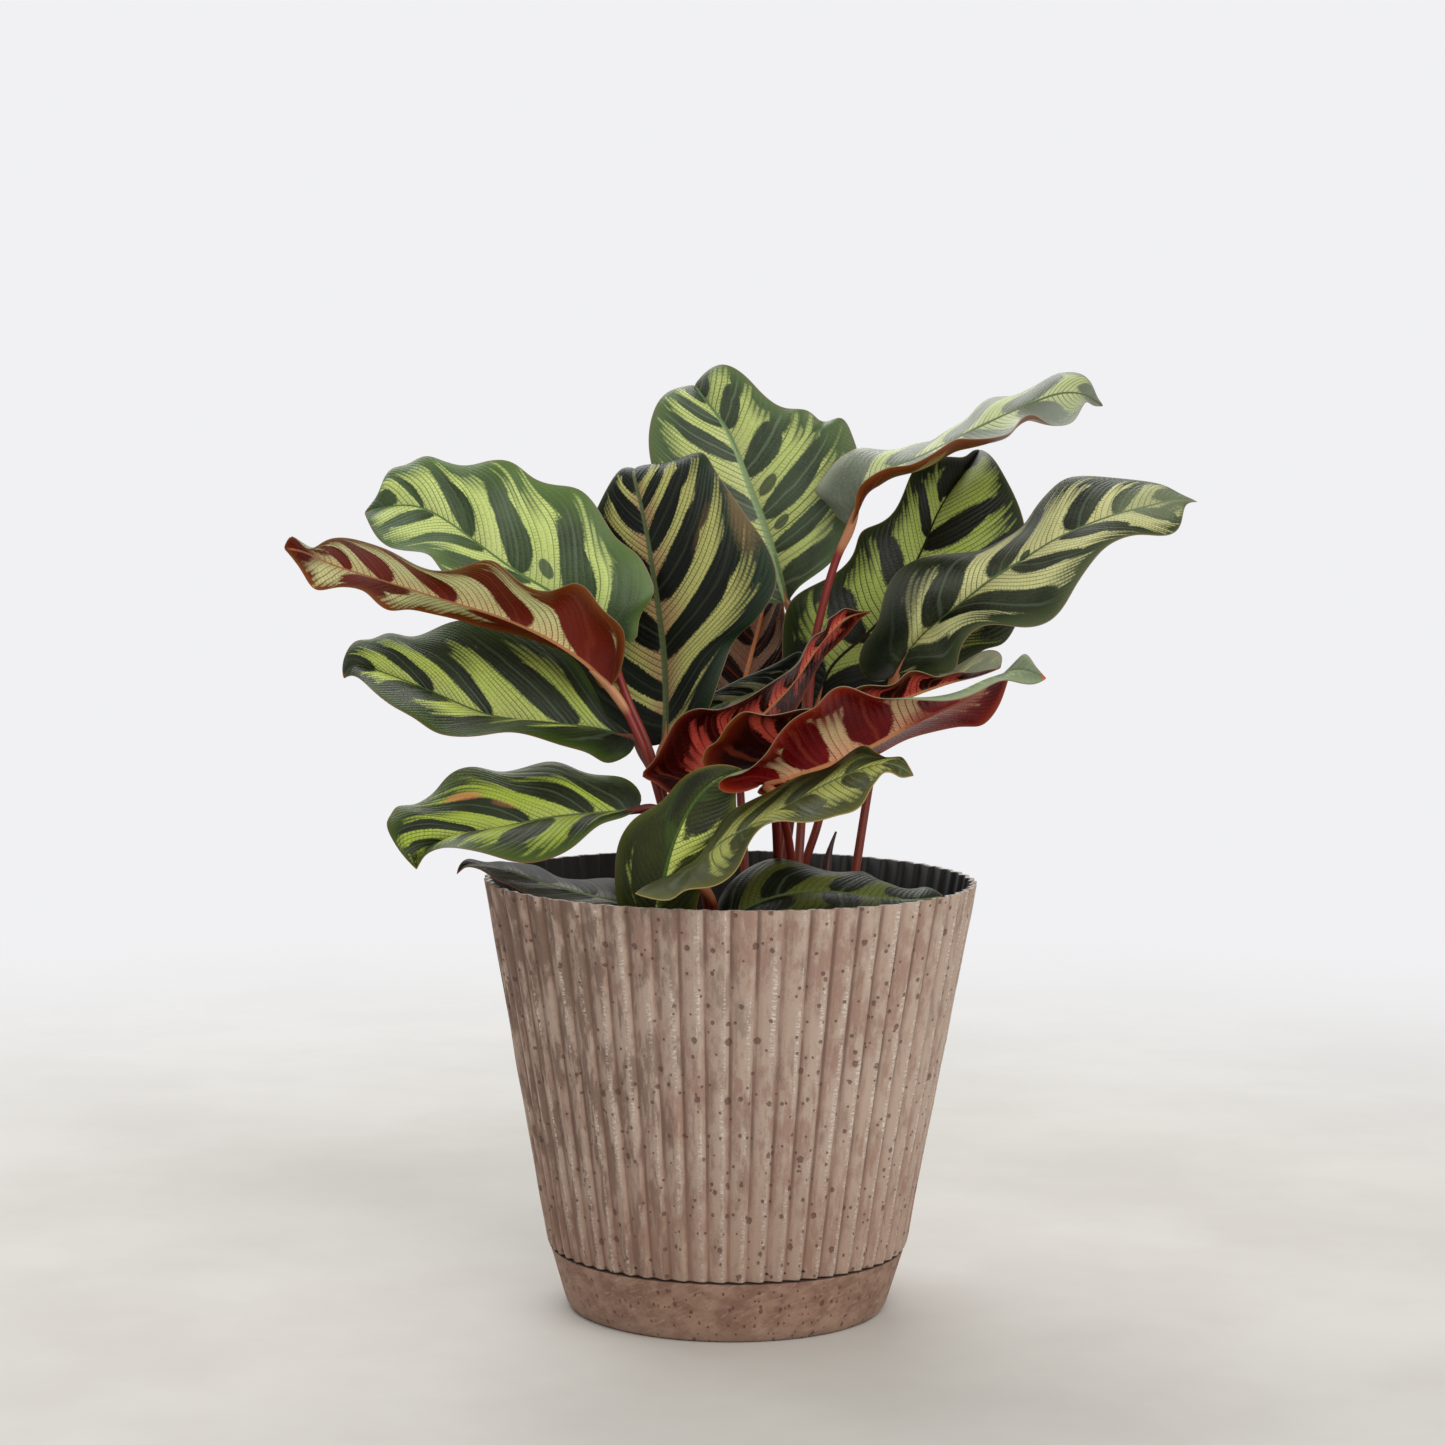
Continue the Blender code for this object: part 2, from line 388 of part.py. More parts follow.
def turned(name, profile, steps, material, group):
    """A solid of revolution about Z. The profile runs from the axis down the outer side and back
    to the axis, in mm."""
    mesh = bpy.data.meshes.new(name)
    points = [(r * MM, 0.0, z * MM) for r, z in profile]
    edges = [(i, i + 1) for i in range(len(points) - 1)]
    mesh.from_pydata(points, edges, [])
    item = add_object(name, mesh, material, group)
    screw = item.modifiers.new("turn", "SCREW")
    screw.axis = "Z"
    screw.angle = 2 * math.pi
    screw.steps = steps
    screw.render_steps = steps
    screw.use_merge_vertices = True
    screw.merge_threshold = MERGE_DISTANCE
    apply_modifiers(item)
    return item


def outer_radius(height):
    """The pot's outer radius over its ribs, at a height."""
    share = (height - SEAM_HEIGHT) / (RIM_HEIGHT - SEAM_HEIGHT)
    return SEAM_RADIUS + (RIM_RADIUS - SEAM_RADIUS) * share


def inner_radius(height):
    """The radius inside the pot that is clear of its ribs."""
    return outer_radius(height) - RIB_DEPTH - WALL


def flute(item, bottom):
    """Press the ribs into the turned wall above the spigot: every point moves in by its place on
    the rib, which rises slowly and drops off at once."""
    steps = RIB_COUNT * len(RIB_SHAPE)
    for vertex in item.data.vertices:
        radius = math.hypot(vertex.co.x, vertex.co.y) / MM
        if vertex.co.z < (bottom - GAP) * MM or radius < SPIGOT_RADIUS + RIB_DEPTH:
            continue
        turn = math.atan2(vertex.co.y, vertex.co.x) / (2 * math.pi) * steps
        place = RIB_SHAPE[round(turn) % len(RIB_SHAPE)]
        scale = 1.0 - RIB_DEPTH * (1.0 - place) / radius
        vertex.co.x *= scale
        vertex.co.y *= scale


def build_pot(material, group, cutters):
    """The fluted pot: thin ribbed wall, floor with drain holes, and the spigot under it."""
    bottom = SEAM_HEIGHT + GAP
    top = outer_radius(RIM_HEIGHT)
    low = outer_radius(bottom)
    floor = bottom + FLOOR
    profile = [
        (0.0, floor),
        (outer_radius(floor) - WALL, floor),
        (top - WALL, RIM_HEIGHT),
        (top, RIM_HEIGHT),
        (low, bottom),
        (SPIGOT_RADIUS, bottom),
        (SPIGOT_RADIUS, bottom - SPIGOT_DEPTH),
        (SPIGOT_RADIUS - WALL, bottom - SPIGOT_DEPTH),
        (SPIGOT_RADIUS - WALL, bottom),
        (0.0, bottom),
    ]
    item = turned("pot_body", profile, RIB_COUNT * len(RIB_SHAPE), material, group)
    flute(item, bottom)
    for index in range(DRAIN_COUNT):
        turn = 2 * math.pi * (index + 0.5) / DRAIN_COUNT
        bpy.ops.mesh.primitive_cylinder_add(
            vertices=DRAIN_SIDES, radius=DRAIN_RADIUS * MM, depth=4 * FLOOR * MM,
            location=(DRAIN_RING * MM * math.cos(turn), DRAIN_RING * MM * math.sin(turn), bottom * MM))
        hole = bpy.context.object
        hole.name = f"drain_cutter_{index}"
        move_to(hole, cutters)
        hide_cutter(hole)
    cut_away(item, "drain holes", cutters)
    shade_round(item)


def move_to(item, group):
    for holder in list(item.users_collection):
        holder.objects.unlink(item)
    group.objects.link(item)


def build_foot(material, group):
    """The smooth dish that the pot stands in, which also holds spare water."""
    slope = (SEAM_RADIUS - FOOT_RADIUS) / SEAM_HEIGHT
    lip = SEAM_RADIUS - FOOT_LIP_INSET
    bend = FOOT_WALL + FOOT_HOLLOW_BEND
    profile = [
        (0.0, FOOT_WALL),
        (FOOT_RADIUS - FOOT_WALL - FOOT_HOLLOW_BEND, FOOT_WALL),
        (FOOT_RADIUS - FOOT_WALL + slope * bend, bend),
        (lip - FOOT_WALL, SEAM_HEIGHT),
        (lip, SEAM_HEIGHT),
        (FOOT_RADIUS + slope * 2 * FOOT_EDGE, 2 * FOOT_EDGE),
        (FOOT_RADIUS, FOOT_EDGE),
        (FOOT_RADIUS - FOOT_EDGE, 0.0),
        (0.0, 0.0),
    ]
    item = turned("pot_foot", profile, FOOT_STEPS, material, group)
    shade_round(item)


def soil_height(radius, turn):
    """The soil's surface: a low mound with seeded lumps."""
    share = min(1.0, radius / inner_radius(SOIL_LEVEL))
    mound = SOIL_MOUND * (1.0 - share * share)
    lumps = 0.0
    random = np.random.default_rng(LUMP_SEED)
    for _ in range(LUMP_WAVES):
        waves = int(random.integers(2, 9))
        stretch = float(random.uniform(0.08, 0.3))
        phase = float(random.uniform(0.0, 2 * math.pi))
        lumps += math.sin(waves * turn + phase + 3.0 * share) * math.sin(stretch * radius + phase)
    return SOIL_LEVEL + mound + LUMP * lumps * min(1.0, 4.0 * share)


def build_soil(material, group, cutters):
    """The soil fills the pot to below its rim, with a plain hole for each stalk."""
    bottom = SEAM_HEIGHT + GAP + FLOOR + GAP
    side = inner_radius(SOIL_LEVEL) - SOIL_SIDE_GAP
    low_side = inner_radius(bottom) - SOIL_SIDE_GAP
    profile = [(radius, SOIL_LEVEL) for radius in np.arange(0.0, side - SOIL_RING_STEP / 2, SOIL_RING_STEP)]
    profile += [(side, SOIL_LEVEL), (low_side, bottom), (0.0, bottom)]
    item = turned("soil", profile, SOIL_STEPS, material, group)
    for vertex in item.data.vertices:
        radius = math.hypot(vertex.co.x, vertex.co.y) / MM
        if vertex.co.z > bottom * MM + MERGE_DISTANCE:
            vertex.co.z = soil_height(radius, math.atan2(vertex.co.y, vertex.co.x)) * MM
    cut_away(item, "stalk holes", cutters)
    shade_round(item)


def seen_at(points):
    """Real places of points given as they are seen from the front, in mm."""
    points = np.asarray(points, dtype=float)
    depth = points[:, 2]
    grow = 1.0 - depth / EYE[1]
    across = EYE[0] + (points[:, 0] - EYE[0]) * grow
    up = EYE[2] + (points[:, 1] - EYE[2]) * grow
    return np.column_stack((across, depth, up))


def smooth_curve(points, shares):
    """A natural cubic curve through the points, read at the given shares of its length."""
    chords = np.linalg.norm(np.diff(points, axis=0), axis=1)
    knots = np.concatenate(([0.0], np.cumsum(np.sqrt(chords))))
    count = len(points)
    spans = np.diff(knots)
    matrix = np.eye(count)
    sides = np.zeros((count, 3))
    for i in range(1, count - 1):
        matrix[i, i - 1:i + 2] = (spans[i - 1], 2 * (spans[i - 1] + spans[i]), spans[i])
        ahead = (points[i + 1] - points[i]) / spans[i]
        behind = (points[i] - points[i - 1]) / spans[i - 1]
        sides[i] = 6 * (ahead - behind)
    bends = np.linalg.solve(matrix, sides)

    def at(places):
        i = np.clip(np.searchsorted(knots, places, side="right") - 1, 0, count - 2)
        span = spans[i][:, None]
        v = ((places - knots[i]) / spans[i])[:, None]
        u = 1 - v
        bend = (u ** 3 - u) * bends[i] + (v ** 3 - v) * bends[i + 1]
        return u * points[i] + v * points[i + 1] + bend * span ** 2 / 6

    fine = np.linspace(0.0, knots[-1], CURVE_SAMPLES)
    steps = np.linalg.norm(np.diff(at(fine), axis=0), axis=1)
    length = np.concatenate(([0.0], np.cumsum(steps)))
    return at(np.interp(np.asarray(shares) * length[-1], length, fine))


def blade_surface(leaf):
    """The blade's middle surface, in mm: a row of points across the leaf for each share of its
    length, from the left margin over the midrib to the right one. Also each point's place across,
    from -1 to 1."""
    shares = np.linspace(FIRST_ROW, LAST_ROW, BLADE_ROWS)
    base = seen_at(leaf["middle"][:1])
    tip = seen_at(leaf["middle"][-1:])
    middle = smooth_curve(seen_at(leaf["middle"]), shares)
    along = np.gradient(middle, axis=0)
    along /= np.linalg.norm(along, axis=1)[:, None]
    places = np.linspace(-1.0, 1.0, 2 * BLADE_COLUMNS + 1)
    surface = np.zeros((BLADE_ROWS, len(places), 3))
    for side, name in enumerate(("left", "right")):
        through = np.concatenate((base, seen_at(leaf[name]), tip))
        margin = smooth_curve(through, shares ** leaf["lead"][side])
        out = margin - middle
        width = np.linalg.norm(out, axis=1)[:, None]
        up = np.cross(out, along) * (1.0 if side else -1.0)
        up /= np.linalg.norm(up, axis=1)[:, None]
        arch = leaf["arch"][side] * np.minimum(1.0, width / FULL_ARCH_WIDTH)
        for column, place in enumerate(places):
            if (place > 0) != bool(side) and place != 0:
                continue
            share = abs(place)
            surface[:, column] = middle + out * share + up * arch * 4 * share * (1 - share)
    return surface, places


def build_blade(name, leaf, material, group):
    """A thin blade: its middle surface in triangles, given its thickness by Solidify, with a
    thicker midrib that fades towards the tip."""
    surface, places = blade_surface(leaf)
    columns = len(places)
    faces = []
    for row in range(BLADE_ROWS - 1):
        for column in range(columns - 1):
            near = row * columns + column
            far = near + columns
            if column < BLADE_COLUMNS:
                faces += [(near, near + 1, far + 1), (near, far + 1, far)]
            else:
                faces += [(near, near + 1, far), (near + 1, far + 1, far)]
    data = bpy.data.meshes.new(name)
    data.from_pydata([Vector(point) * MM for point in surface.reshape(-1, 3)], [], faces)
    item = add_object(name, data, material, group)
    ribs = item.vertex_groups.new(name="midrib")
    fade = np.sqrt(np.linspace(1.0, 0.0, BLADE_ROWS))
    weights = np.outer(fade, np.maximum(0.0, 1.0 - 2.0 * np.abs(places)))
    for index, weight in enumerate(weights.ravel()):
        ribs.add([index], float(weight), "REPLACE")
    thicken = item.modifiers.new("thickness", "SOLIDIFY")
    thicken.thickness = MIDRIB_THICKNESS * MM
    thicken.thickness_vertex_group = BLADE_THICKNESS / MIDRIB_THICKNESS
    thicken.vertex_group = ribs.name
    thicken.offset = 0.0
    apply_modifiers(item)
    shade_round(item, LEAF_SHARP_ANGLE)


def stalk_path(leaf):
    """The stalk's line from just short of the blade's foot down into the soil, in mm. A stalk that
    leaves at an angle starts further off, so that the rim of its flat end stays clear too."""
    surface = blade_surface(leaf)[0]
    foot = surface[0, BLADE_COLUMNS]
    ahead = surface[1, BLADE_COLUMNS] - foot
    ahead /= np.linalg.norm(ahead)
    below = seen_at(leaf["stalk"])
    leaving = (below[0] - foot) / np.linalg.norm(below[0] - foot)
    turn = np.linalg.norm(np.cross(leaving, ahead))
    start = foot - ahead * (leaf.get("joint_gap", JOINT_GAP) + STALK_RADIUS * NECK * turn)
    points = np.concatenate(([start], below))
    length = np.linalg.norm(np.diff(points, axis=0), axis=1).sum()
    count = max(4, int(round(length / STALK_STEP)) + 1)
    return smooth_curve(points, np.linspace(0.0, 1.0, count))


def tube(name, path, radii, material, group):
    """A round stalk along a path, with flat ends, as a closed mesh."""
    curve = bpy.data.curves.new(name, "CURVE")
    curve.dimensions = "3D"
    curve.bevel_depth = MM
    curve.bevel_resolution = 2
    curve.use_fill_caps = True
    spline = curve.splines.new("POLY")
    spline.points.add(len(path) - 1)
    for point, place, radius in zip(spline.points, path, radii):
        point.co = (*(Vector(place) * MM), 1.0)
        point.radius = radius
    guide = bpy.data.objects.new(name + "_line", curve)
    group.objects.link(guide)
    depsgraph = bpy.context.evaluated_depsgraph_get()
    data = bpy.data.meshes.new_from_object(guide.evaluated_get(depsgraph))
    mesh = bmesh.new()
    mesh.from_mesh(data)
    bmesh.ops.remove_doubles(mesh, verts=mesh.verts, dist=MERGE_DISTANCE)
    bmesh.ops.recalc_face_normals(mesh, faces=mesh.faces)
    mesh.to_mesh(data)
    mesh.free()
    bpy.data.objects.remove(guide)
    bpy.data.curves.remove(curve)
    data.name = name
    data.materials.clear()
    return add_object(name, data, material, group)


def stalk_radii(count):
    """Slim, thicker at the soil and in the joint below the blade, with a narrow neck at the blade."""
    shares = np.linspace(0.0, 1.0, count)
    swell = STALK_JOINT_SWELL * np.exp(-shares * 8.0) + STALK_FOOT_SWELL * shares ** 3
    radii = STALK_RADIUS * (1.0 + swell)
    radii[0] = STALK_RADIUS * NECK
    return radii


def build_stalk(name, leaf, material, group, cutters):
    """A leaf's stalk, and the wider tube that cuts its hole in the soil."""
    path = stalk_path(leaf)
    radii = stalk_radii(len(path))
    item = tube(name, path, radii, material, group)
    shade_round(item, LEAF_SHARP_ANGLE)
    add_hole_cutter(name, path, radii, cutters)


def add_hole_cutter(name, path, radii, cutters):
    """The lowest stretch of a path, wider by the clearance and longer by it at the bottom."""
    low = np.array(path[-HOLE_POINTS:])
    down = low[-1] - low[-2]
    low[-1] += down / np.linalg.norm(down) * STALK_CLEARANCE
    wide = np.array(radii[-HOLE_POINTS:]) + STALK_CLEARANCE
    hide_cutter(tube(name + "_hole", low, wide, None, cutters))


def build_sprout(material, group, cutters):
    """The youngest leaf, still rolled into a spike."""
    path = smooth_curve(seen_at(SPROUT), np.linspace(0.0, 1.0, len(SPROUT_RADII)))
    item = tube("sprout", path, SPROUT_RADII, material, group)
    shade_round(item, LEAF_SHARP_ANGLE)
    add_hole_cutter("sprout", path[::-1], SPROUT_RADII[::-1], cutters)


def main():
    start_clean()
    parts = new_collection("potted_peacock_plant")
    drain_cutters = new_collection("drain_cutters")
    soil_cutters = new_collection("soil_cutters")
    pot_stuff = make_material("pot", (0.29, 0.21, 0.18), 0.8)
    foot_stuff = make_material("foot", (0.27, 0.19, 0.16), 0.75)
    soil_stuff = make_material("soil", (0.06, 0.04, 0.03), 0.95)
    blade_stuff = make_material("blade", (0.13, 0.22, 0.06), 0.45)
    stalk_stuff = make_material("stalk", (0.24, 0.06, 0.05), 0.5)
    build_pot(pot_stuff, parts, drain_cutters)
    build_foot(foot_stuff, parts)
    for name, leaf in leaf_table().items():
        build_blade(name + "_blade", leaf, blade_stuff, parts)
        build_stalk(name + "_stalk", leaf, stalk_stuff, parts, soil_cutters)
    build_sprout(stalk_stuff, parts, soil_cutters)
    build_soil(soil_stuff, parts, soil_cutters)


main()
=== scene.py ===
"""The looks of the potted peacock plant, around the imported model: eighteen patterned blades and
their stalks, the rolled sprout, the fluted stone-look pot with its foot, the soil, a pale floor,
soft light and the camera. Sizes are in mm where nothing else is said. Blender's are in metres."""

import math

import bpy
import numpy as np
from mathutils import Matrix, Vector


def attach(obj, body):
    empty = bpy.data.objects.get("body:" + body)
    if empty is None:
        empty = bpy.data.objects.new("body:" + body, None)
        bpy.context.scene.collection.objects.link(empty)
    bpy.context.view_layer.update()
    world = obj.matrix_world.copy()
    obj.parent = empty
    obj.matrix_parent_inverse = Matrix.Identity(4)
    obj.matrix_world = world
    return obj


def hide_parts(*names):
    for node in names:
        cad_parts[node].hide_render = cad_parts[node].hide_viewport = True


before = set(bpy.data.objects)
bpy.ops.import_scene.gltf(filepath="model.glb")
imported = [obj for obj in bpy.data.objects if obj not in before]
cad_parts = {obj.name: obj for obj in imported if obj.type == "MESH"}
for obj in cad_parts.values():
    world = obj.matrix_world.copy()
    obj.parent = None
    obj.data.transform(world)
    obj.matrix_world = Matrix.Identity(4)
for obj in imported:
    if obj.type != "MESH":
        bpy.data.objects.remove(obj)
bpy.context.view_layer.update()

MM = 0.001
PER_METRE = 1000.0
TURN = 2 * math.pi

# Camera: where it stands, in metres, and how it is turned, in degrees.
CAMERA_PLACE = (-0.0033, -1.130, 0.289)
CAMERA_DOWN = 4.39
CAMERA_ROLL = 0.58
CAMERA_LENS = 82.2

# Light and floor. Each lamp has its place and size in metres, its watts and its colour.
BACKGROUND = (241, 241, 243)
ROOM_LIGHT = (0.99, 0.985, 0.965, 1.0)
ROOM_STRENGTH = 0.5
LIT_POINT = (0.0, 0.0, 0.17)
LAMPS = {"window": ((-0.5, 1.1, 1.5), (2.2, 1.4), 28.0, (1.0, 1.0, 1.0)),
         "room": ((0.8, -1.5, 1.3), (2.0, 1.6), 27.0, (1.0, 0.975, 0.925))}
FLOOR_HALF = 30000.0

# Blades: the mesh, the thickness, the midrib and its groove, and the height of the pleats. Each
# crease is the angle in degrees from which an edge stays sharp.
BLADE_ROWS = 100
BLADE_COLUMNS = 24
FIRST_ROW = 0.003
LAST_ROW = 0.997
CURVE_STEPS = 600
USUAL_LEAD = (0.8, 0.8)
FULL_ARCH_WIDTH = 20.0
BLADE_HALF = 0.2
MARGIN_HALF = 0.12
MARGIN_REACH = 1.5
RIB_HEIGHT = 0.8
RIB_REACH = 0.8
GROOVE_DEPTH = 0.2
PLEAT = 0.22
BLADE_CREASE = 60

# The blades' pattern: the distance from one fine vein to the next and from one rung to the next, the
# relief's depth, and the contrast and brightness of the colours. The blue's larger gain whitens the colours
# as a painted sheen, most on the light fields.
LINE_STEP = 2.3
TICK_STEP = 1.0
LEAF_RELIEF = 0.35
LEAF_GAMMA = 1.1
LEAF_GAIN = (1.17, 1.17, 1.32)

# Stalks: the mesh, the blade's row under which a stalk starts, how far from there the thick joint
# lies, and where the joint's colour ends and starts to fade.
STALK_RADIUS = 1.4
STALK_SIDES = 16
STALK_STEP = 1.6
STALK_TOP_ROW = 7
JOINT_PLACE = 12.0
JOINT_REACH = 5.0
JOINT_COLOUR_END = 21.0
JOINT_COLOUR_FADE = 16.0

# Pot. Its rim, seam and foot are the model's own. A rib's crest lies at that share of its width.
RIM_RADIUS = 85.0
RIM_HEIGHT = 148.5
SEAM_HEIGHT = 21.5
SEAM_RADIUS = 62.2
FOOT_RADIUS = 54.8
RIB_COUNT = 60
RIB_DEPTH = 1.5
RIB_CREST = 0.8
RIB_POINTS = 16
WALL = 1.7
WALL_ROWS = 56
INSIDE_ROWS = 14
POT_BOTTOM = SEAM_HEIGHT + 0.3
POT_FLOOR = 2.5
FLOOR_HOLE = 20.0
POT_CREASE = 55
FOOT_STEPS = 240
FOOT_FLOOR = 2.2
FOOT_CREASE = 50

# The wall's patterns lie as on a circle of this radius. Its pits have three sizes: how far apart
# they are, how likely, and their least and added radius as shares of that distance.
WRAP = 75.0
PITS = ((9.0, 0.32, 0.055, 0.06), (4.8, 0.26, 0.07, 0.06), (2.6, 0.09, 0.11, 0.05))
# The painted shadow in the thin seam between the wall and the foot.
SEAM_SHADOW = (34, 24, 20)

# Soil: its height at the wall, how far it rises to the middle, where it ends below, the room
# beside it, the sizes and heights of its crumbs, its mesh and its chips of bark, which are that
# long, wide and thick.
SOIL_LEVEL = 124.0
SOIL_MOUND = 4.0
SOIL_RADIUS = 77.0
SOIL_CRUMBS = ((14.0, 0.45), (6.0, 0.4), (3.0, 0.35), (1.7, 0.22))
SOIL_LOW = 110.0
SOIL_ROOM = 0.4
SOIL_RINGS = 110
SOIL_STEPS = 360
CHIP_COUNT = 520
CHIP_SIZES = ((1.2, 4.2), (0.8, 2.0), (0.4, 1.0))

# Sprout: its places as they are seen from the front, its radii from the soil to the tip, its mesh
# and the step that its rolled edge makes.
SPROUT = [(31, 110, -10), (32, 138, -8), (33, 150, -7), (34, 158, -6), (36.2, 165, -5)]
SPROUT_RADII = (1.5, 1.55, 1.6, 1.85, 2.0, 1.75, 1.1, 0.35)
SPROUT_ROWS = 90
SPROUT_SIDES = 28
SPROUT_CREASE = 50
ROLL_STEP = 0.22

# The leaves are laid out as they are seen from here.
EYE = (-3.3, -1130.0, 289.0)

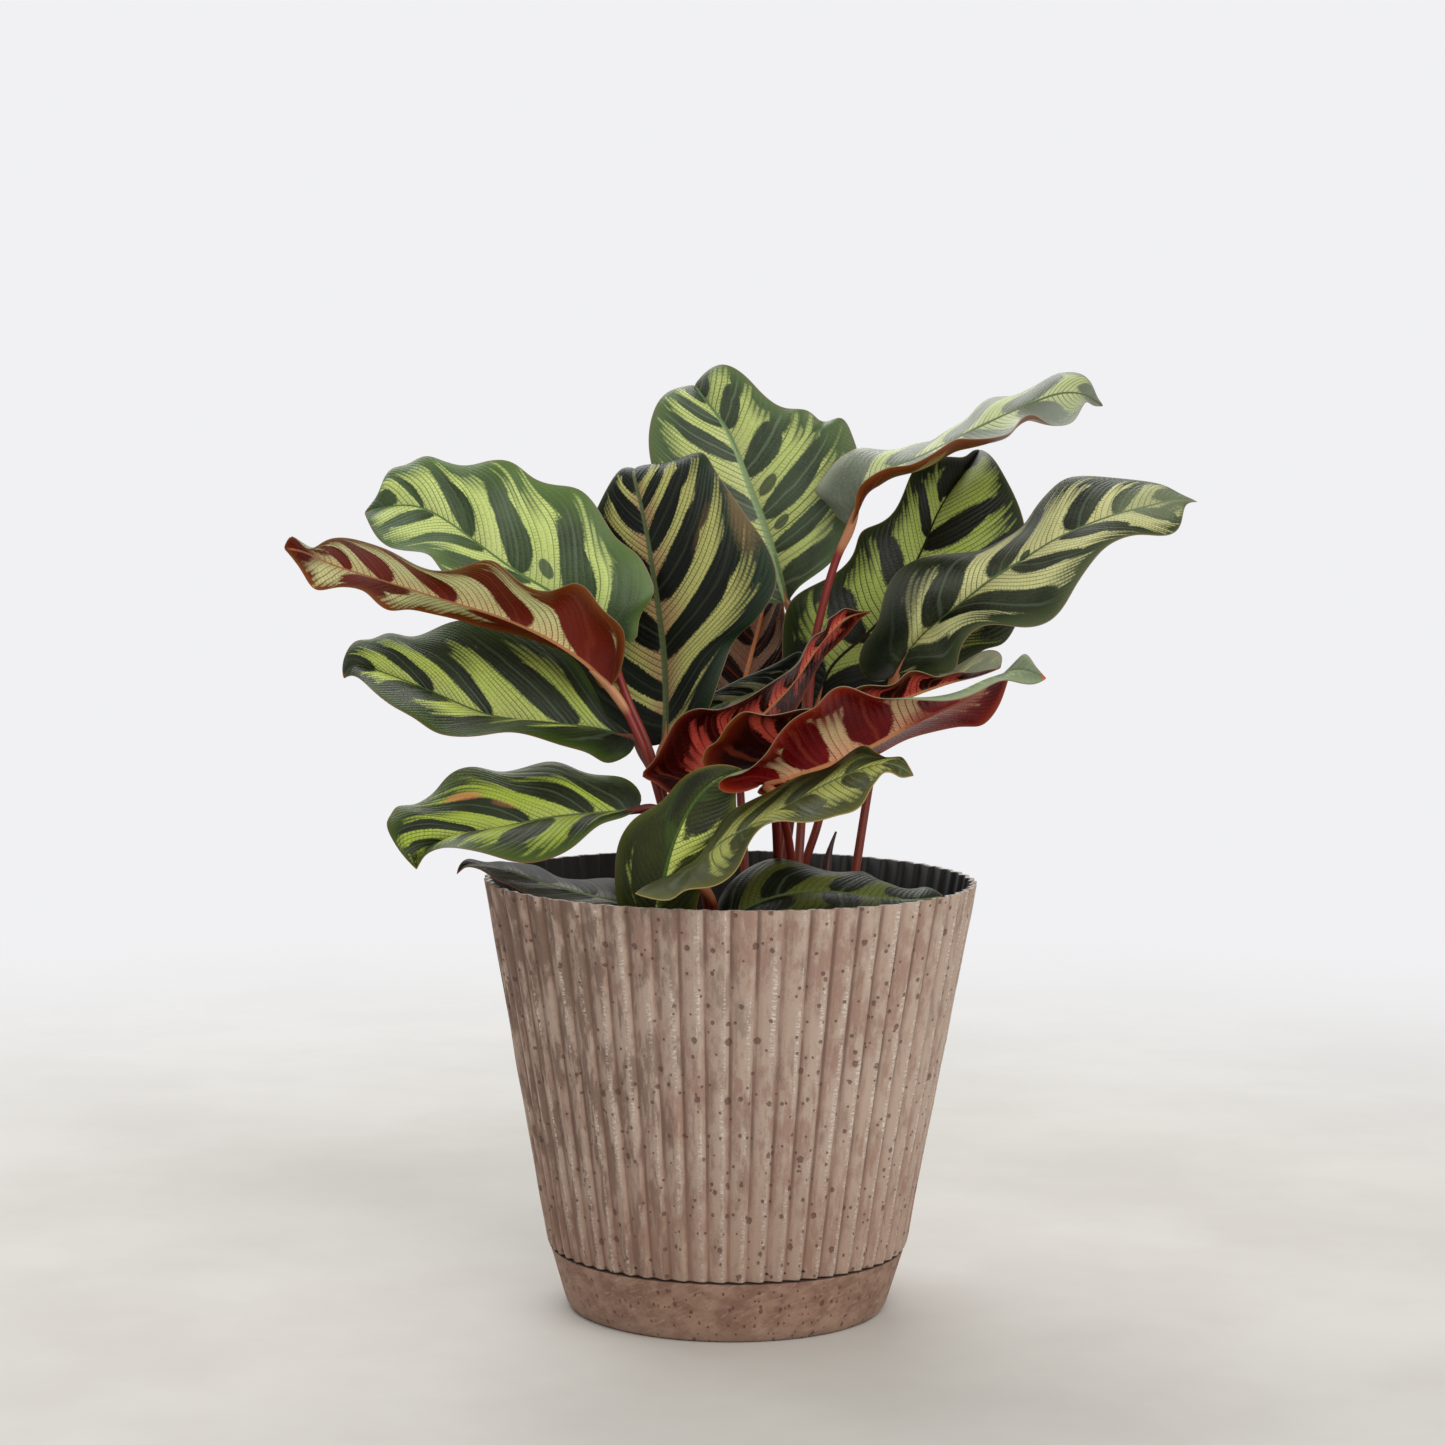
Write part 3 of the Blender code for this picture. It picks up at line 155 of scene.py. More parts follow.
# Each leaf's midrib, its two margins from stalk to tip, how far each half arches up, how fast each
# margin runs ahead of the midrib, and its stalk from the blade down into the soil. The points are
# across, up and back. The blade front_dark is a little wider beside its stalk than in the solids,
# and back_right starts a little lower.
LEAVES = {
    "top_centre": dict(
        middle=[(18.5, 243.5, 20), (15, 255, 19), (11, 268, 20), (6, 281, 22), (1, 294, 26), (-4, 304, 32),
            (-10, 312, 39), (-14, 317.5, 46)],
        left=[(10, 244, 16), (-2, 251, 15), (-14, 263, 18), (-24, 278, 22), (-29, 293, 26), (-29, 304, 31),
            (-26, 312, 36), (-21, 316, 41)],
        right=[(23, 249.5, 14), (31, 255.5, 12), (38, 264, 12), (42, 277, 14), (43, 290, 16), (40, 301, 17),
            (36, 306.8, 18), (30, 305.5, 22), (25, 309, 22), (17, 310, 26), (9, 315, 30), (3, 321, 34),
            (-4, 324.5, 38), (-10, 322, 43)],
        arch=(1.5, 1.5), stalk=[(20.5, 239, 19), (21.5, 234, 20), (20.5, 226, 20), (20.5, 212, 18),
            (20, 190, 14), (18, 165, 8), (16, 140, 4), (15, 112, 2)]),
    "front_dark": dict(
        middle=[(-23, 195, -2), (-22.5, 208, -2), (-24, 230, 0), (-27, 250, 2), (-30, 268, 5),
            (-33, 281, 8), (-34.5, 287, 12), (-34, 289, 18)],
        left=[(-30.5, 194, 2), (-42, 199.5, 7), (-51.5, 212.5, 12.5), (-56.5, 227.5, 15), (-54, 246, 15.5),
            (-51, 263, 15), (-46.5, 276, 13), (-41.5, 285.5, 13), (-38, 289, 15.5)],
        right=[(-15, 197.5, -5), (-8.8, 205, -9), (-5.5, 214, -10), (-2.5, 223, -9), (1, 231, -8),
            (7, 237, -10), (12, 243.5, -11), (14.6, 250, -10), (13.8, 257, -7), (10, 265, -4), (5, 272, -1),
            (0, 279, 2), (-5, 286, 4), (-8, 291, 5), (-11, 294.5, 8), (-15, 294, 10.5), (-20, 292, 13),
            (-26, 290.5, 15.5), (-31, 290, 17)],
        arch=(1.5, 2.5), stalk=[(-24.5, 190, -2), (-21, 183, -2), (-16, 170, -1), (-9, 145, 0),
            (-5, 112, 1)]),
    "left_upper": dict(
        middle=[(-39, 231, -6), (-47, 237, -6), (-60, 245, -4), (-74, 253, -2), (-86, 261.5, 0),
            (-97, 269.5, 3), (-108, 275, 6), (-118, 275, 10), (-126.5, 273, 15)],
        left=[(-43, 228, -8), (-54, 231, -10), (-68, 236, -12), (-82, 241, -14), (-94, 249, -16),
            (-100, 253.5, -17), (-104, 258.5, -14), (-110, 260, -10), (-117, 261, -4), (-122, 264.5, 3)],
        right=[(-33.5, 230, -7), (-32, 238, -7), (-27.5, 246, -7), (-28.5, 252, -5), (-33, 259.5, -2),
            (-40, 265, 1), (-46, 274, 4), (-53, 281.5, 7), (-61, 283, 9), (-69, 285.5, 11),
            (-76, 290.5, 11), (-84, 291, 12), (-92, 289.3, 14), (-100, 291, 14), (-106, 292.3, 14),
            (-112, 289.5, 15), (-117, 288, 15), (-120, 284, 14), (-122, 279, 14)],
        arch=(1.5, 2.5), stalk=[(-39.7, 223, -11), (-38.3, 216, -15), (-34.5, 206.5, -18), (-31, 199, -19),
            (-27.8, 191, -20), (-24.5, 181, -20), (-20, 165, -19), (-15, 145, -16), (-12, 112, -12)]),
    "left_red": dict(
        middle=[(-42, 214, -22), (-49, 221, -22), (-57, 227, -22), (-67, 232.5, -20), (-80, 238, -19),
            (-95, 242.5, -18), (-110, 247, -18), (-125, 251.5, -18), (-139, 256, -18), (-147, 259.5, -20),
            (-154, 260.5, -25)],
        left=[(-39, 218.5, -28), (-37, 228, -34), (-38.5, 235, -38), (-45, 241, -40), (-50, 247.5, -40),
            (-55, 249.5, -38), (-62, 247, -38), (-70, 248, -40), (-76, 252, -42), (-82, 256.7, -42),
            (-88, 256.5, -40), (-95, 254, -38), (-102, 253.3, -38), (-109, 255, -38), (-117, 259.5, -38),
            (-125, 262.5, -38), (-133, 264.2, -36), (-140, 263, -33), (-146, 260.5, -29),
            (-151, 264.5, -27)],
        right=[(-45, 214, -15), (-49, 219.5, -7), (-55, 224.5, 0), (-61, 227.3, 3), (-68, 229.8, 3),
            (-75, 231.8, 2), (-85, 234, 1), (-95, 236.8, 0), (-105, 239, -1), (-112, 240, -2),
            (-118, 239.7, -4), (-123, 243, -6), (-127, 246.3, -8), (-136, 247.3, -10), (-143, 246.5, -12),
            (-147.5, 252, -16), (-151, 257, -20)],
        arch=(2.5, 1.5), stalk=[(-39.5, 210.5, -23), (-36.5, 206, -24), (-33.5, 200, -25),
            (-30, 192.5, -26), (-27, 184, -26), (-22.5, 168, -25.5), (-17.5, 145, -21.5),
            (-14.5, 112, -19)]),
    "left_middle": dict(
        middle=[(-33, 196, -10), (-42, 198.5, -9), (-53, 200.3, -8), (-69, 201.8, -7), (-84, 204, -5),
            (-98, 209.5, -3), (-110, 214.5, 0), (-122, 219, 4), (-130, 220.5, 8), (-133.5, 216, 10)],
        left=[(-34.5, 192, -14), (-38.5, 189, -18), (-43.5, 188, -22), (-49, 191, -26), (-58, 193.7, -30),
            (-68, 196.8, -32), (-77, 198.2, -32), (-86, 197, -31), (-94, 196.5, -29), (-102, 198, -26),
            (-109, 202.5, -22), (-117, 207, -16), (-124, 212.5, -8), (-128, 216, 0), (-131, 217, 6)],
        right=[(-37, 199.5, -9), (-42.5, 204, -6), (-46.5, 211, -2), (-51, 219, 3), (-58, 227, 8),
            (-68, 232.5, 10), (-80, 235, 9), (-92, 236.5, 10), (-100, 234.5, 11), (-108, 231, 11),
            (-113, 231, 11), (-118.5, 231.7, 11), (-124, 229.7, 11), (-129, 229, 10), (-132.5, 225, 11),
            (-133.8, 220, 11)],
        arch=(2, 2.5), stalk=[(-31, 192, -11), (-28.5, 187.5, -12), (-25.5, 180, -12), (-21, 166, -11),
            (-15, 145, -8), (-12, 112, -5)]),
    "left_lower": dict(
        middle=[(-32, 172, -34), (-38, 171, -34), (-46, 170.3, -33), (-56, 169.5, -32), (-66, 168, -31),
            (-79, 165.2, -30), (-88, 163.5, -29), (-97, 161, -28), (-103, 158.8, -27), (-107, 154.8, -26.5),
            (-108.3, 150.3, -27)],
        left=[(-37, 169.2, -38), (-44, 167, -44), (-49, 163.5, -49), (-54, 159, -54), (-60, 155.5, -57),
            (-68, 153.2, -58), (-75, 153.5, -57), (-84, 156, -53), (-93, 157.8, -47), (-100, 157.8, -40),
            (-105, 155.5, -35), (-107, 152.8, -31.5)],
        right=[(-31, 176, -30), (-33, 180, -26), (-38, 183, -22), (-46, 183.7, -18), (-52, 185, -16),
            (-58, 187.5, -14), (-64, 188, -13), (-72, 185.8, -14), (-80, 184.5, -15), (-87, 185.9, -14),
            (-93, 185.4, -14), (-98, 182.3, -15), (-102, 177.5, -16), (-106, 174.3, -18),
            (-110, 172.7, -19), (-115, 172, -20), (-117, 169.5, -22), (-118.5, 166.3, -24),
            (-116.5, 160.5, -27), (-113, 155.3, -29)],
        arch=(2, 2), stalk=[(-27.5, 172.3, -34), (-23, 170, -33), (-18, 160, -30), (-14, 145, -28),
            (-11, 112, -26)]),
    "front_bright": dict(
        middle=[(-25, 127, -56), (-24.5, 138, -58), (-22.5, 150, -59), (-19.5, 161, -59), (-15, 171, -58),
            (-8, 180, -58), (4, 186.2, -57.5)],
        left=[(-33, 129, -52), (-38.5, 138, -48), (-39.8, 150, -46), (-38.3, 161, -46), (-32.5, 169.3, -47),
            (-25, 174, -48), (-20, 179.5, -50), (-15, 184.3, -53.5), (-9, 187, -55.5), (-2, 187.7, -57)],
        right=[(-16, 129, -56), (-12, 136, -57), (-10.5, 143, -57), (-5, 152, -58), (0, 161, -58),
            (1.8, 170, -57), (1.6, 178, -57), (2.5, 183, -56)],
        arch=(1.5, 1.5), stalk=[(-24, 123.5, -54), (-22, 118, -51), (-20, 108, -48)]),
    "front_twisted": dict(
        middle=[(-14, 149, -74), (-9, 154, -75), (-4, 160, -76), (5, 165.5, -77), (15, 171, -78),
            (25, 177, -80), (35, 182.5, -82), (46, 187, -84), (55, 188.5, -86), (62.8, 184.6, -88)],
        left=[(-19, 148.8, -70), (-17.5, 151, -66), (-12, 154.5, -65), (-8, 160, -64), (-4.5, 166, -63),
            (-1, 171, -62), (3, 173.5, -62), (9, 176.5, -62), (15, 179.5, -62), (22, 183.5, -63),
            (30, 186, -65), (36, 188.5, -67), (41, 192.5, -69), (45.5, 194.7, -71), (50, 192.3, -74),
            (54, 190.6, -77), (58, 191, -81), (60.5, 188.5, -85)],
        right=[(-22, 146.5, -79), (-29, 144.3, -83), (-33, 143, -87), (-29, 141.5, -91), (-24, 140.5, -93),
            (-20, 141, -94), (-16, 143.8, -94), (-11, 144.7, -94), (-6, 145.5, -95), (-1, 148.2, -95),
            (3, 153, -95), (6, 160, -95), (9.5, 165.2, -96), (13, 167.5, -96), (18, 168.4, -97),
            (24, 168, -97), (31, 168.8, -98), (37, 170.6, -98), (42, 172, -98), (45.5, 175, -97),
            (47.5, 179, -95), (50.5, 183.5, -93), (53, 185.6, -91), (56, 185, -90), (58.5, 183.8, -89)],
        arch=(1.5, 1.5), lead=(0.85, 0.6), stalk=[(-10.5, 146, -73), (-7, 142, -70), (-5.5, 137, -64),
            (-5, 129, -57), (-5, 110, -51)]),
    "front_low": dict(
        middle=[(-2, 133, -50), (8, 139, -52), (20, 143, -54), (34, 144, -54), (48, 142.5, -51),
            (60, 141.5, -46), (68, 142, -40), (73.5, 143, -33)],
        left=[(-4.5, 138, -46), (-1.5, 145, -43), (3, 149.7, -41), (8, 153, -40), (14, 155.2, -39.5),
            (20, 155, -39), (27, 153, -38), (33, 151.2, -37), (40, 150.9, -35), (45, 151, -33),
            (49, 149, -32), (53, 146.6, -31), (58, 145, -31), (63, 145.2, -31), (67, 146, -31.5),
            (70.5, 145, -32)],
        right=[(6, 133, -58), (18, 134, -66), (32, 134, -68), (46, 135, -63), (58, 137, -54),
            (66.5, 140, -44)],
        arch=(2.5, 2), stalk=[(-2, 129.5, -47), (-1, 122, -43), (0, 108, -40)]),
    "left_rim": dict(
        middle=[(-27, 136, -40), (-36, 139, -41), (-46, 141.5, -42), (-58, 144.6, -40), (-68, 147.5, -35),
            (-78, 150.8, -29), (-86, 152.4, -24), (-91, 152, -21), (-94.5, 148.8, -19)],
        left=[(-34, 134, -46), (-44, 135, -50), (-54, 136.5, -49), (-63, 138.8, -44), (-70, 141.8, -39),
            (-76, 145, -34), (-81, 147.2, -32), (-85, 149.8, -29), (-89, 151.3, -25), (-92, 151, -22)],
        right=[(-29, 142, -34), (-35, 146.5, -28), (-42, 148, -24), (-50, 147.4, -22), (-56, 147.4, -20),
            (-61, 148.8, -18), (-66, 151.6, -16), (-72, 152.8, -14), (-79, 153.2, -13), (-85, 153, -14),
            (-90, 154.2, -16), (-93, 152.5, -18)],
        arch=(1, 1), lead=(0.85, 0.8), stalk=[(-23, 132.5, -37), (-20, 125, -34), (-18, 108, -32)]),
    "right_red": dict(
        middle=[(11, 181, -56), (18, 183, -57), (26, 185.5, -58), (36, 189, -58), (46, 193.5, -57),
            (55, 198.5, -56), (65, 204, -54), (75, 208.8, -53), (84, 213.5, -54), (92, 219, -57),
            (99, 221.5, -59), (107.8, 218.6, -60)],
        left=[(9, 178, -53), (14, 177.5, -49), (22, 179, -44), (34, 183, -38), (44, 188.5, -34),
            (52, 192.7, -33), (60, 197, -33), (70, 200, -35), (79, 201.7, -37), (85, 202, -40),
            (89, 205, -44), (92, 210, -48), (94, 216, -50), (96.5, 223, -52), (100.3, 226.8, -55),
            (103.5, 223.2, -58)],
        right=[(4, 178.3, -61), (-3.5, 178.6, -66), (-4.6, 181, -68), (-2, 183.3, -69), (3, 184.6, -70),
            (8, 187.8, -71), (12, 192, -72), (15.5, 197.5, -73), (19.5, 202.3, -74), (24, 205.6, -75),
            (28.5, 208, -76), (32, 212, -77), (36, 214.8, -77), (40, 214.9, -76), (45, 213, -75),
            (50, 211.3, -74), (57, 211, -73), (66, 210.6, -73), (76, 210.8, -72), (85, 214, -70),
            (92.5, 217.6, -68), (98, 217, -66), (103.5, 216.5, -63)],
        arch=(1.5, 3), lead=(0.9, 0.7), stalk=[(15, 178, -57.7), (15.6, 172, -55), (15.6, 165, -46),
            (16, 156, -35), (16, 148, -28), (16, 135, -22.5), (15.5, 110, -20)]),
    "middle_red": dict(
        middle=[(-14, 179, -30), (-9, 186, -31), (-1, 194, -31), (8, 203, -30), (16, 211, -28),
            (23, 219.5, -26), (29, 228.5, -24), (35.5, 236, -22), (41, 239.8, -21), (48, 241.2, -20)],
        left=[(-8, 178, -25), (0, 181, -18), (9, 189, -11), (17, 199, -8), (23, 209, -8), (27.5, 218, -10),
            (31, 224.5, -13), (35.5, 229.3, -16), (40, 234, -18), (43.3, 238, -19.5)],
        right=[(-20, 177, -33), (-26, 181, -37), (-30.8, 183.7, -40), (-28, 187.5, -41), (-25, 192, -42),
            (-22, 198, -43), (-19, 203, -44), (-15, 206, -44), (-10.5, 207, -43), (-6, 206.6, -42),
            (0, 208.2, -42), (6, 211.3, -42), (12, 215.2, -41), (18, 219.2, -40), (22.5, 222.8, -38),
            (24.5, 227, -36), (28, 232.5, -33), (31.5, 234.6, -31), (32.5, 237.8, -29), (35, 239.8, -27),
            (38, 241.8, -25), (41.5, 241.3, -23), (45, 241, -21)],
        arch=(1.5, 2), lead=(0.85, 0.7), stalk=[(-13.5, 173, -29), (-10, 155, -25), (-7, 135, -21),
            (-5, 112, -18)]),
    "inner_red": dict(
        middle=[(13, 187, -46), (22, 192, -46), (33, 199, -45), (45, 205.5, -43), (55, 209.5, -42),
            (62, 212.3, -41), (70, 215.3, -40), (77, 217.5, -39), (84, 219.2, -38), (91.8, 222, -36)],
        left=[(17, 185.5, -40), (28, 193, -31), (42, 203, -25), (54, 211.5, -22), (64, 216, -20),
            (74, 221, -19), (80, 224.5, -20), (85, 227.3, -23), (89.5, 228, -26), (92.2, 226, -31)],
        right=[(4, 184, -47), (-5, 184, -48), (-10, 187.5, -49), (-8.5, 193.5, -50), (-5.5, 195.5, -51),
            (-3, 199.5, -52.5), (0, 203.3, -53.5), (4, 206, -54), (8.5, 205.4, -54), (13, 204.9, -53),
            (19, 206, -52), (25, 207.2, -51), (31, 207.5, -50), (36, 210.5, -49), (41, 213.8, -48),
            (46, 215.6, -47), (52, 215.4, -46), (56, 216.5, -46), (59.5, 219.8, -46), (63, 220.7, -45),
            (67, 219.6, -44), (71, 218.8, -42), (77, 220.3, -43), (82, 220.4, -43), (87, 221.3, -41)],
        arch=(-1, 2), lead=(0.9, 0.7), stalk=[(15, 180, -42), (18, 170, -34), (20.5, 158, -27),
            (21, 140, -20), (21, 110, -16)]),
    "back_brown": dict(
        middle=[(2, 206, 24), (4, 216, 27), (7, 228, 33), (10, 240, 41), (12, 250, 50), (13, 260, 61),
            (13, 268, 74)],
        left=[(9, 208, 22), (16, 217, 25), (19.3, 228, 30), (19, 236, 35), (17.5, 241, 39), (18, 252, 48),
            (17, 262, 60)],
        right=[(-6, 208, 22), (-13, 218, 26), (-16, 232, 33), (-13, 247, 44), (-5, 260, 58)],
        arch=(1.5, 1.5), stalk=[(2, 199, 22), (3, 180, 18), (5, 150, 12), (7, 112, 9)]),
    "middle_dark": dict(
        middle=[(24, 219, 3), (17, 216, 3), (8, 212.5, 3), (-2, 209, 4), (-12, 205, 5), (-20, 201, 5)],
        left=[(23, 213, -3), (16, 210, -6), (7, 206, -7), (-2, 203, -6), (-10, 201, -2)],
        right=[(25, 223.5, 4), (23.5, 226.8, 5), (17, 224, 6), (9, 220, 7), (2, 217, 8), (-5, 213.3, 8),
            (-12, 209, 7.5)],
        arch=(1, 1), stalk=[(25.5, 214, 7.5), (25, 205, 7), (23, 190, 4), (20, 165, 0), (17, 140, -3),
            (15, 110, -6)]),
    "back_right": dict(
        middle=[(29, 206.5, 10), (33, 220, 10), (40.7, 228.5, 12), (50.6, 238, 15), (58, 250, 19),
            (64, 261.5, 24), (68, 271.5, 29), (73, 281, 35), (79.8, 290.5, 44), (83.5, 296.6, 54)],
        left=[(21, 206.5, 12), (17.5, 219, 14), (17, 233, 15.5), (18.5, 242, 16), (22, 246.5, 17),
            (28, 250, 18), (35, 254, 19.5), (41, 261, 20), (43.5, 268, 21), (49, 270.8, 22),
            (54, 274.5, 23), (57.5, 281, 26), (60, 287.5, 29), (62.5, 290.8, 31), (68, 293, 35),
            (73, 294, 39), (78, 294, 44), (81, 296, 49)],
        right=[(36, 205, 7), (48, 211.5, 2), (60, 215.5, 0), (70, 218.5, 1), (79, 222, 3), (86, 228, 5),
            (92, 230, 8), (96.3, 235.5, 11), (100, 246, 16), (101.5, 258, 21), (99.5, 270, 26),
            (97, 278, 31), (93, 286, 36), (89, 292.5, 42), (86, 295.5, 48)],
        arch=(2, 3), stalk=[(29.8, 200, 8.8), (32, 187, 5), (30, 168, 1), (26, 155, 1), (24, 140, 3),
            (23, 110, 5)]),
    "right": dict(
        middle=[(56, 219.5, -14), (60, 227, -15), (67, 235, -16), (77, 243, -17), (88, 252, -18),
            (98, 258.5, -18), (108, 265, -17), (119, 270.5, -15), (131, 275, -12), (142, 278, -8),
            (151, 280, -5), (158.5, 279.5, -2)],
        left=[(51, 217, -16.5), (46.5, 217.8, -21), (43.5, 222, -25), (44.5, 229, -26), (49, 236, -26),
            (51, 244, -25), (54, 252, -22), (59, 257, -18), (66, 259.8, -12), (75, 261, -6),
            (85, 262.5, -1), (92, 266, 2), (98.5, 270.5, 4), (103, 277, 5), (108, 283, 6), (113, 286.8, 6),
            (120, 287.9, 6), (130, 287.3, 5), (140, 286.3, 4), (147, 284.8, 2), (152, 282.3, 0)],
        right=[(62, 219, -19), (68, 219.5, -26.5), (74, 220, -32), (76.5, 221.5, -33), (77.5, 226, -33),
            (80, 232, -33), (86, 236.3, -32), (94, 236.5, -34), (101, 236, -35), (108, 238, -35),
            (113, 243, -34), (117, 250, -31), (121.5, 257, -28), (126, 262.5, -25), (131, 266, -22),
            (138, 268, -19), (145, 267.8, -16), (150, 268.6, -13), (152.8, 272.5, -9), (154.3, 278.3, -5)],
        arch=(2, 2.5), lead=(0.8, 0.85), stalk=[(54, 212, -12), (51, 200, -10), (48.5, 188, -10),
            (46, 172, -12), (43, 151, -14), (41, 135, -14), (40, 110, -14)]),
    "top_right": dict(
        middle=[(40, 270.5, 2), (41.5, 277, 1), (45, 284, 0), (52, 289.5, 2), (61, 293, 6), (71, 298, 11),
            (82, 303.7, 17), (92, 308.5, 23), (102, 313, 30), (111, 316, 37), (119, 315.5, 44),
            (125.5, 311.8, 52)],
        left=[(36.5, 271.5, 6), (31.5, 278, 8), (27.3, 281.5, 9), (30, 286, 9), (34, 291.5, 9.5),
            (39, 295.3, 10.5), (43, 296.7, 14), (50, 296.1, 19), (57, 296.3, 24), (63, 297.8, 28),
            (68, 298.8, 31), (73, 302.6, 34), (79, 305.8, 37), (82.5, 310.5, 39), (87, 314, 41),
            (93, 314.6, 43), (99, 316, 46), (105, 320, 48), (110, 322.7, 50), (117, 322.7, 52),
            (121, 319.5, 54), (123.3, 314.5, 55)],
        right=[(41, 275, -6), (41.7, 281, -12), (44, 285, -17), (48, 288, -20), (53, 290.2, -21),
            (59, 291, -20), (64, 293, -18), (69, 296, -16), (75, 299.8, -13), (79, 300.2, -10),
            (85, 300.3, -6), (91, 301.3, -2), (94.5, 303, 1), (97, 306.5, 4), (100, 308.5, 7),
            (103, 308, 11), (107, 305.6, 16), (111, 305, 21), (115, 306.3, 27), (117.3, 309.5, 32),
            (119.5, 313, 38), (122, 312, 46)],
        arch=(2, -3.5), lead=(0.7, 0.95), stalk=[(38.3, 266, 2), (36, 261, 2), (33, 252, 1), (30.5, 242, 0),
            (28, 230, -1), (27, 220, -2), (26, 205, -3), (25, 185, -4), (24, 165, -6), (23, 145, -9),
            (22, 110, -11)]),
}

# A blade's upper face and underside, where a leaf doesn't say otherwise: its colours from 0 to 255, how
# much of the edge's colour spreads inwards as painted backlight, roughness, shine, and discoloured patches,
# some of them pale patches of painted sheen.
GREEN = dict(
    light=(170, 184, 96), light_in=(178, 186, 116), dark=(26, 34, 20), dark_tip_and_sheen=(42, 50, 32),
    band=(48, 62, 30), band_far=(62, 78, 38), vein=(96, 108, 84), line=(56, 70, 34),
    midrib=(92, 106, 62), edge=(128, 112, 84), tip=(120, 84, 44), backlight_glow=0.1, rough=0.4, shine=0.35,
    stains=())
RED = dict(
    light=(198, 190, 122), light_in=(200, 180, 122), dark=(94, 22, 10), dark_tip_and_sheen=(116, 32, 14),
    band=(108, 38, 14), band_far=(136, 66, 24), vein=(140, 64, 40), line=(140, 56, 30),
    midrib=(184, 128, 84), edge=(158, 104, 52), tip=(110, 64, 36), backlight_glow=0.35, rough=0.32,
    shine=0.22, stains=())
DOT = (52, 66, 44)
TAN = (150, 122, 80)
SCAR = (196, 132, 84)


def face(light, light_in, dark, dark_tip_and_sheen, band, band_far, **rest):
    """What one face of a leaf has of its own. The six main colours are its light field, the same beside the
    midrib, its dark ovals, the same paler towards the tip and as painted grey sheen, and the margin's band
    from its inner to its outer side."""
    return dict(light=light, light_in=light_in, dark=dark, dark_tip_and_sheen=dark_tip_and_sheen, band=band,
                band_far=band_far, **rest)


def look_of(seed, left, right, lean=(1.0, 1.0), start=0.0, end=0.74, neck=0.36, reach=(0.84, 0.84),
            top=0.9, bulk=0.8, fade=2.0, upper=None, under=None,
            stalk=((124, 26, 20), (134, 62, 40)), joint=(168, 106, 66)):
    """One leaf's pattern and colours: what differs from the usual green and red faces. Left and
    right hold where the dark ovals of that half start and end on the midrib, from the stalk up,
    in hundredths of its length. Lean is how far the veins bend on either side. The ovals run out
    from start to end and stay as thick as neck beyond it. The light runs out as far as reach, and
    along the midrib to top. Bulk is the midrib's half width, and the ovals are paler past fade."""
    return dict(seed=float(seed), ovals=(left, right), lean=lean, start=start, end=end,
                neck=neck, reach=reach, top=top, bulk=bulk, fade=fade,
                upper={**GREEN, **(upper or {})}, under={**RED, **(under or {})},
                stalk=stalk, joint=joint)


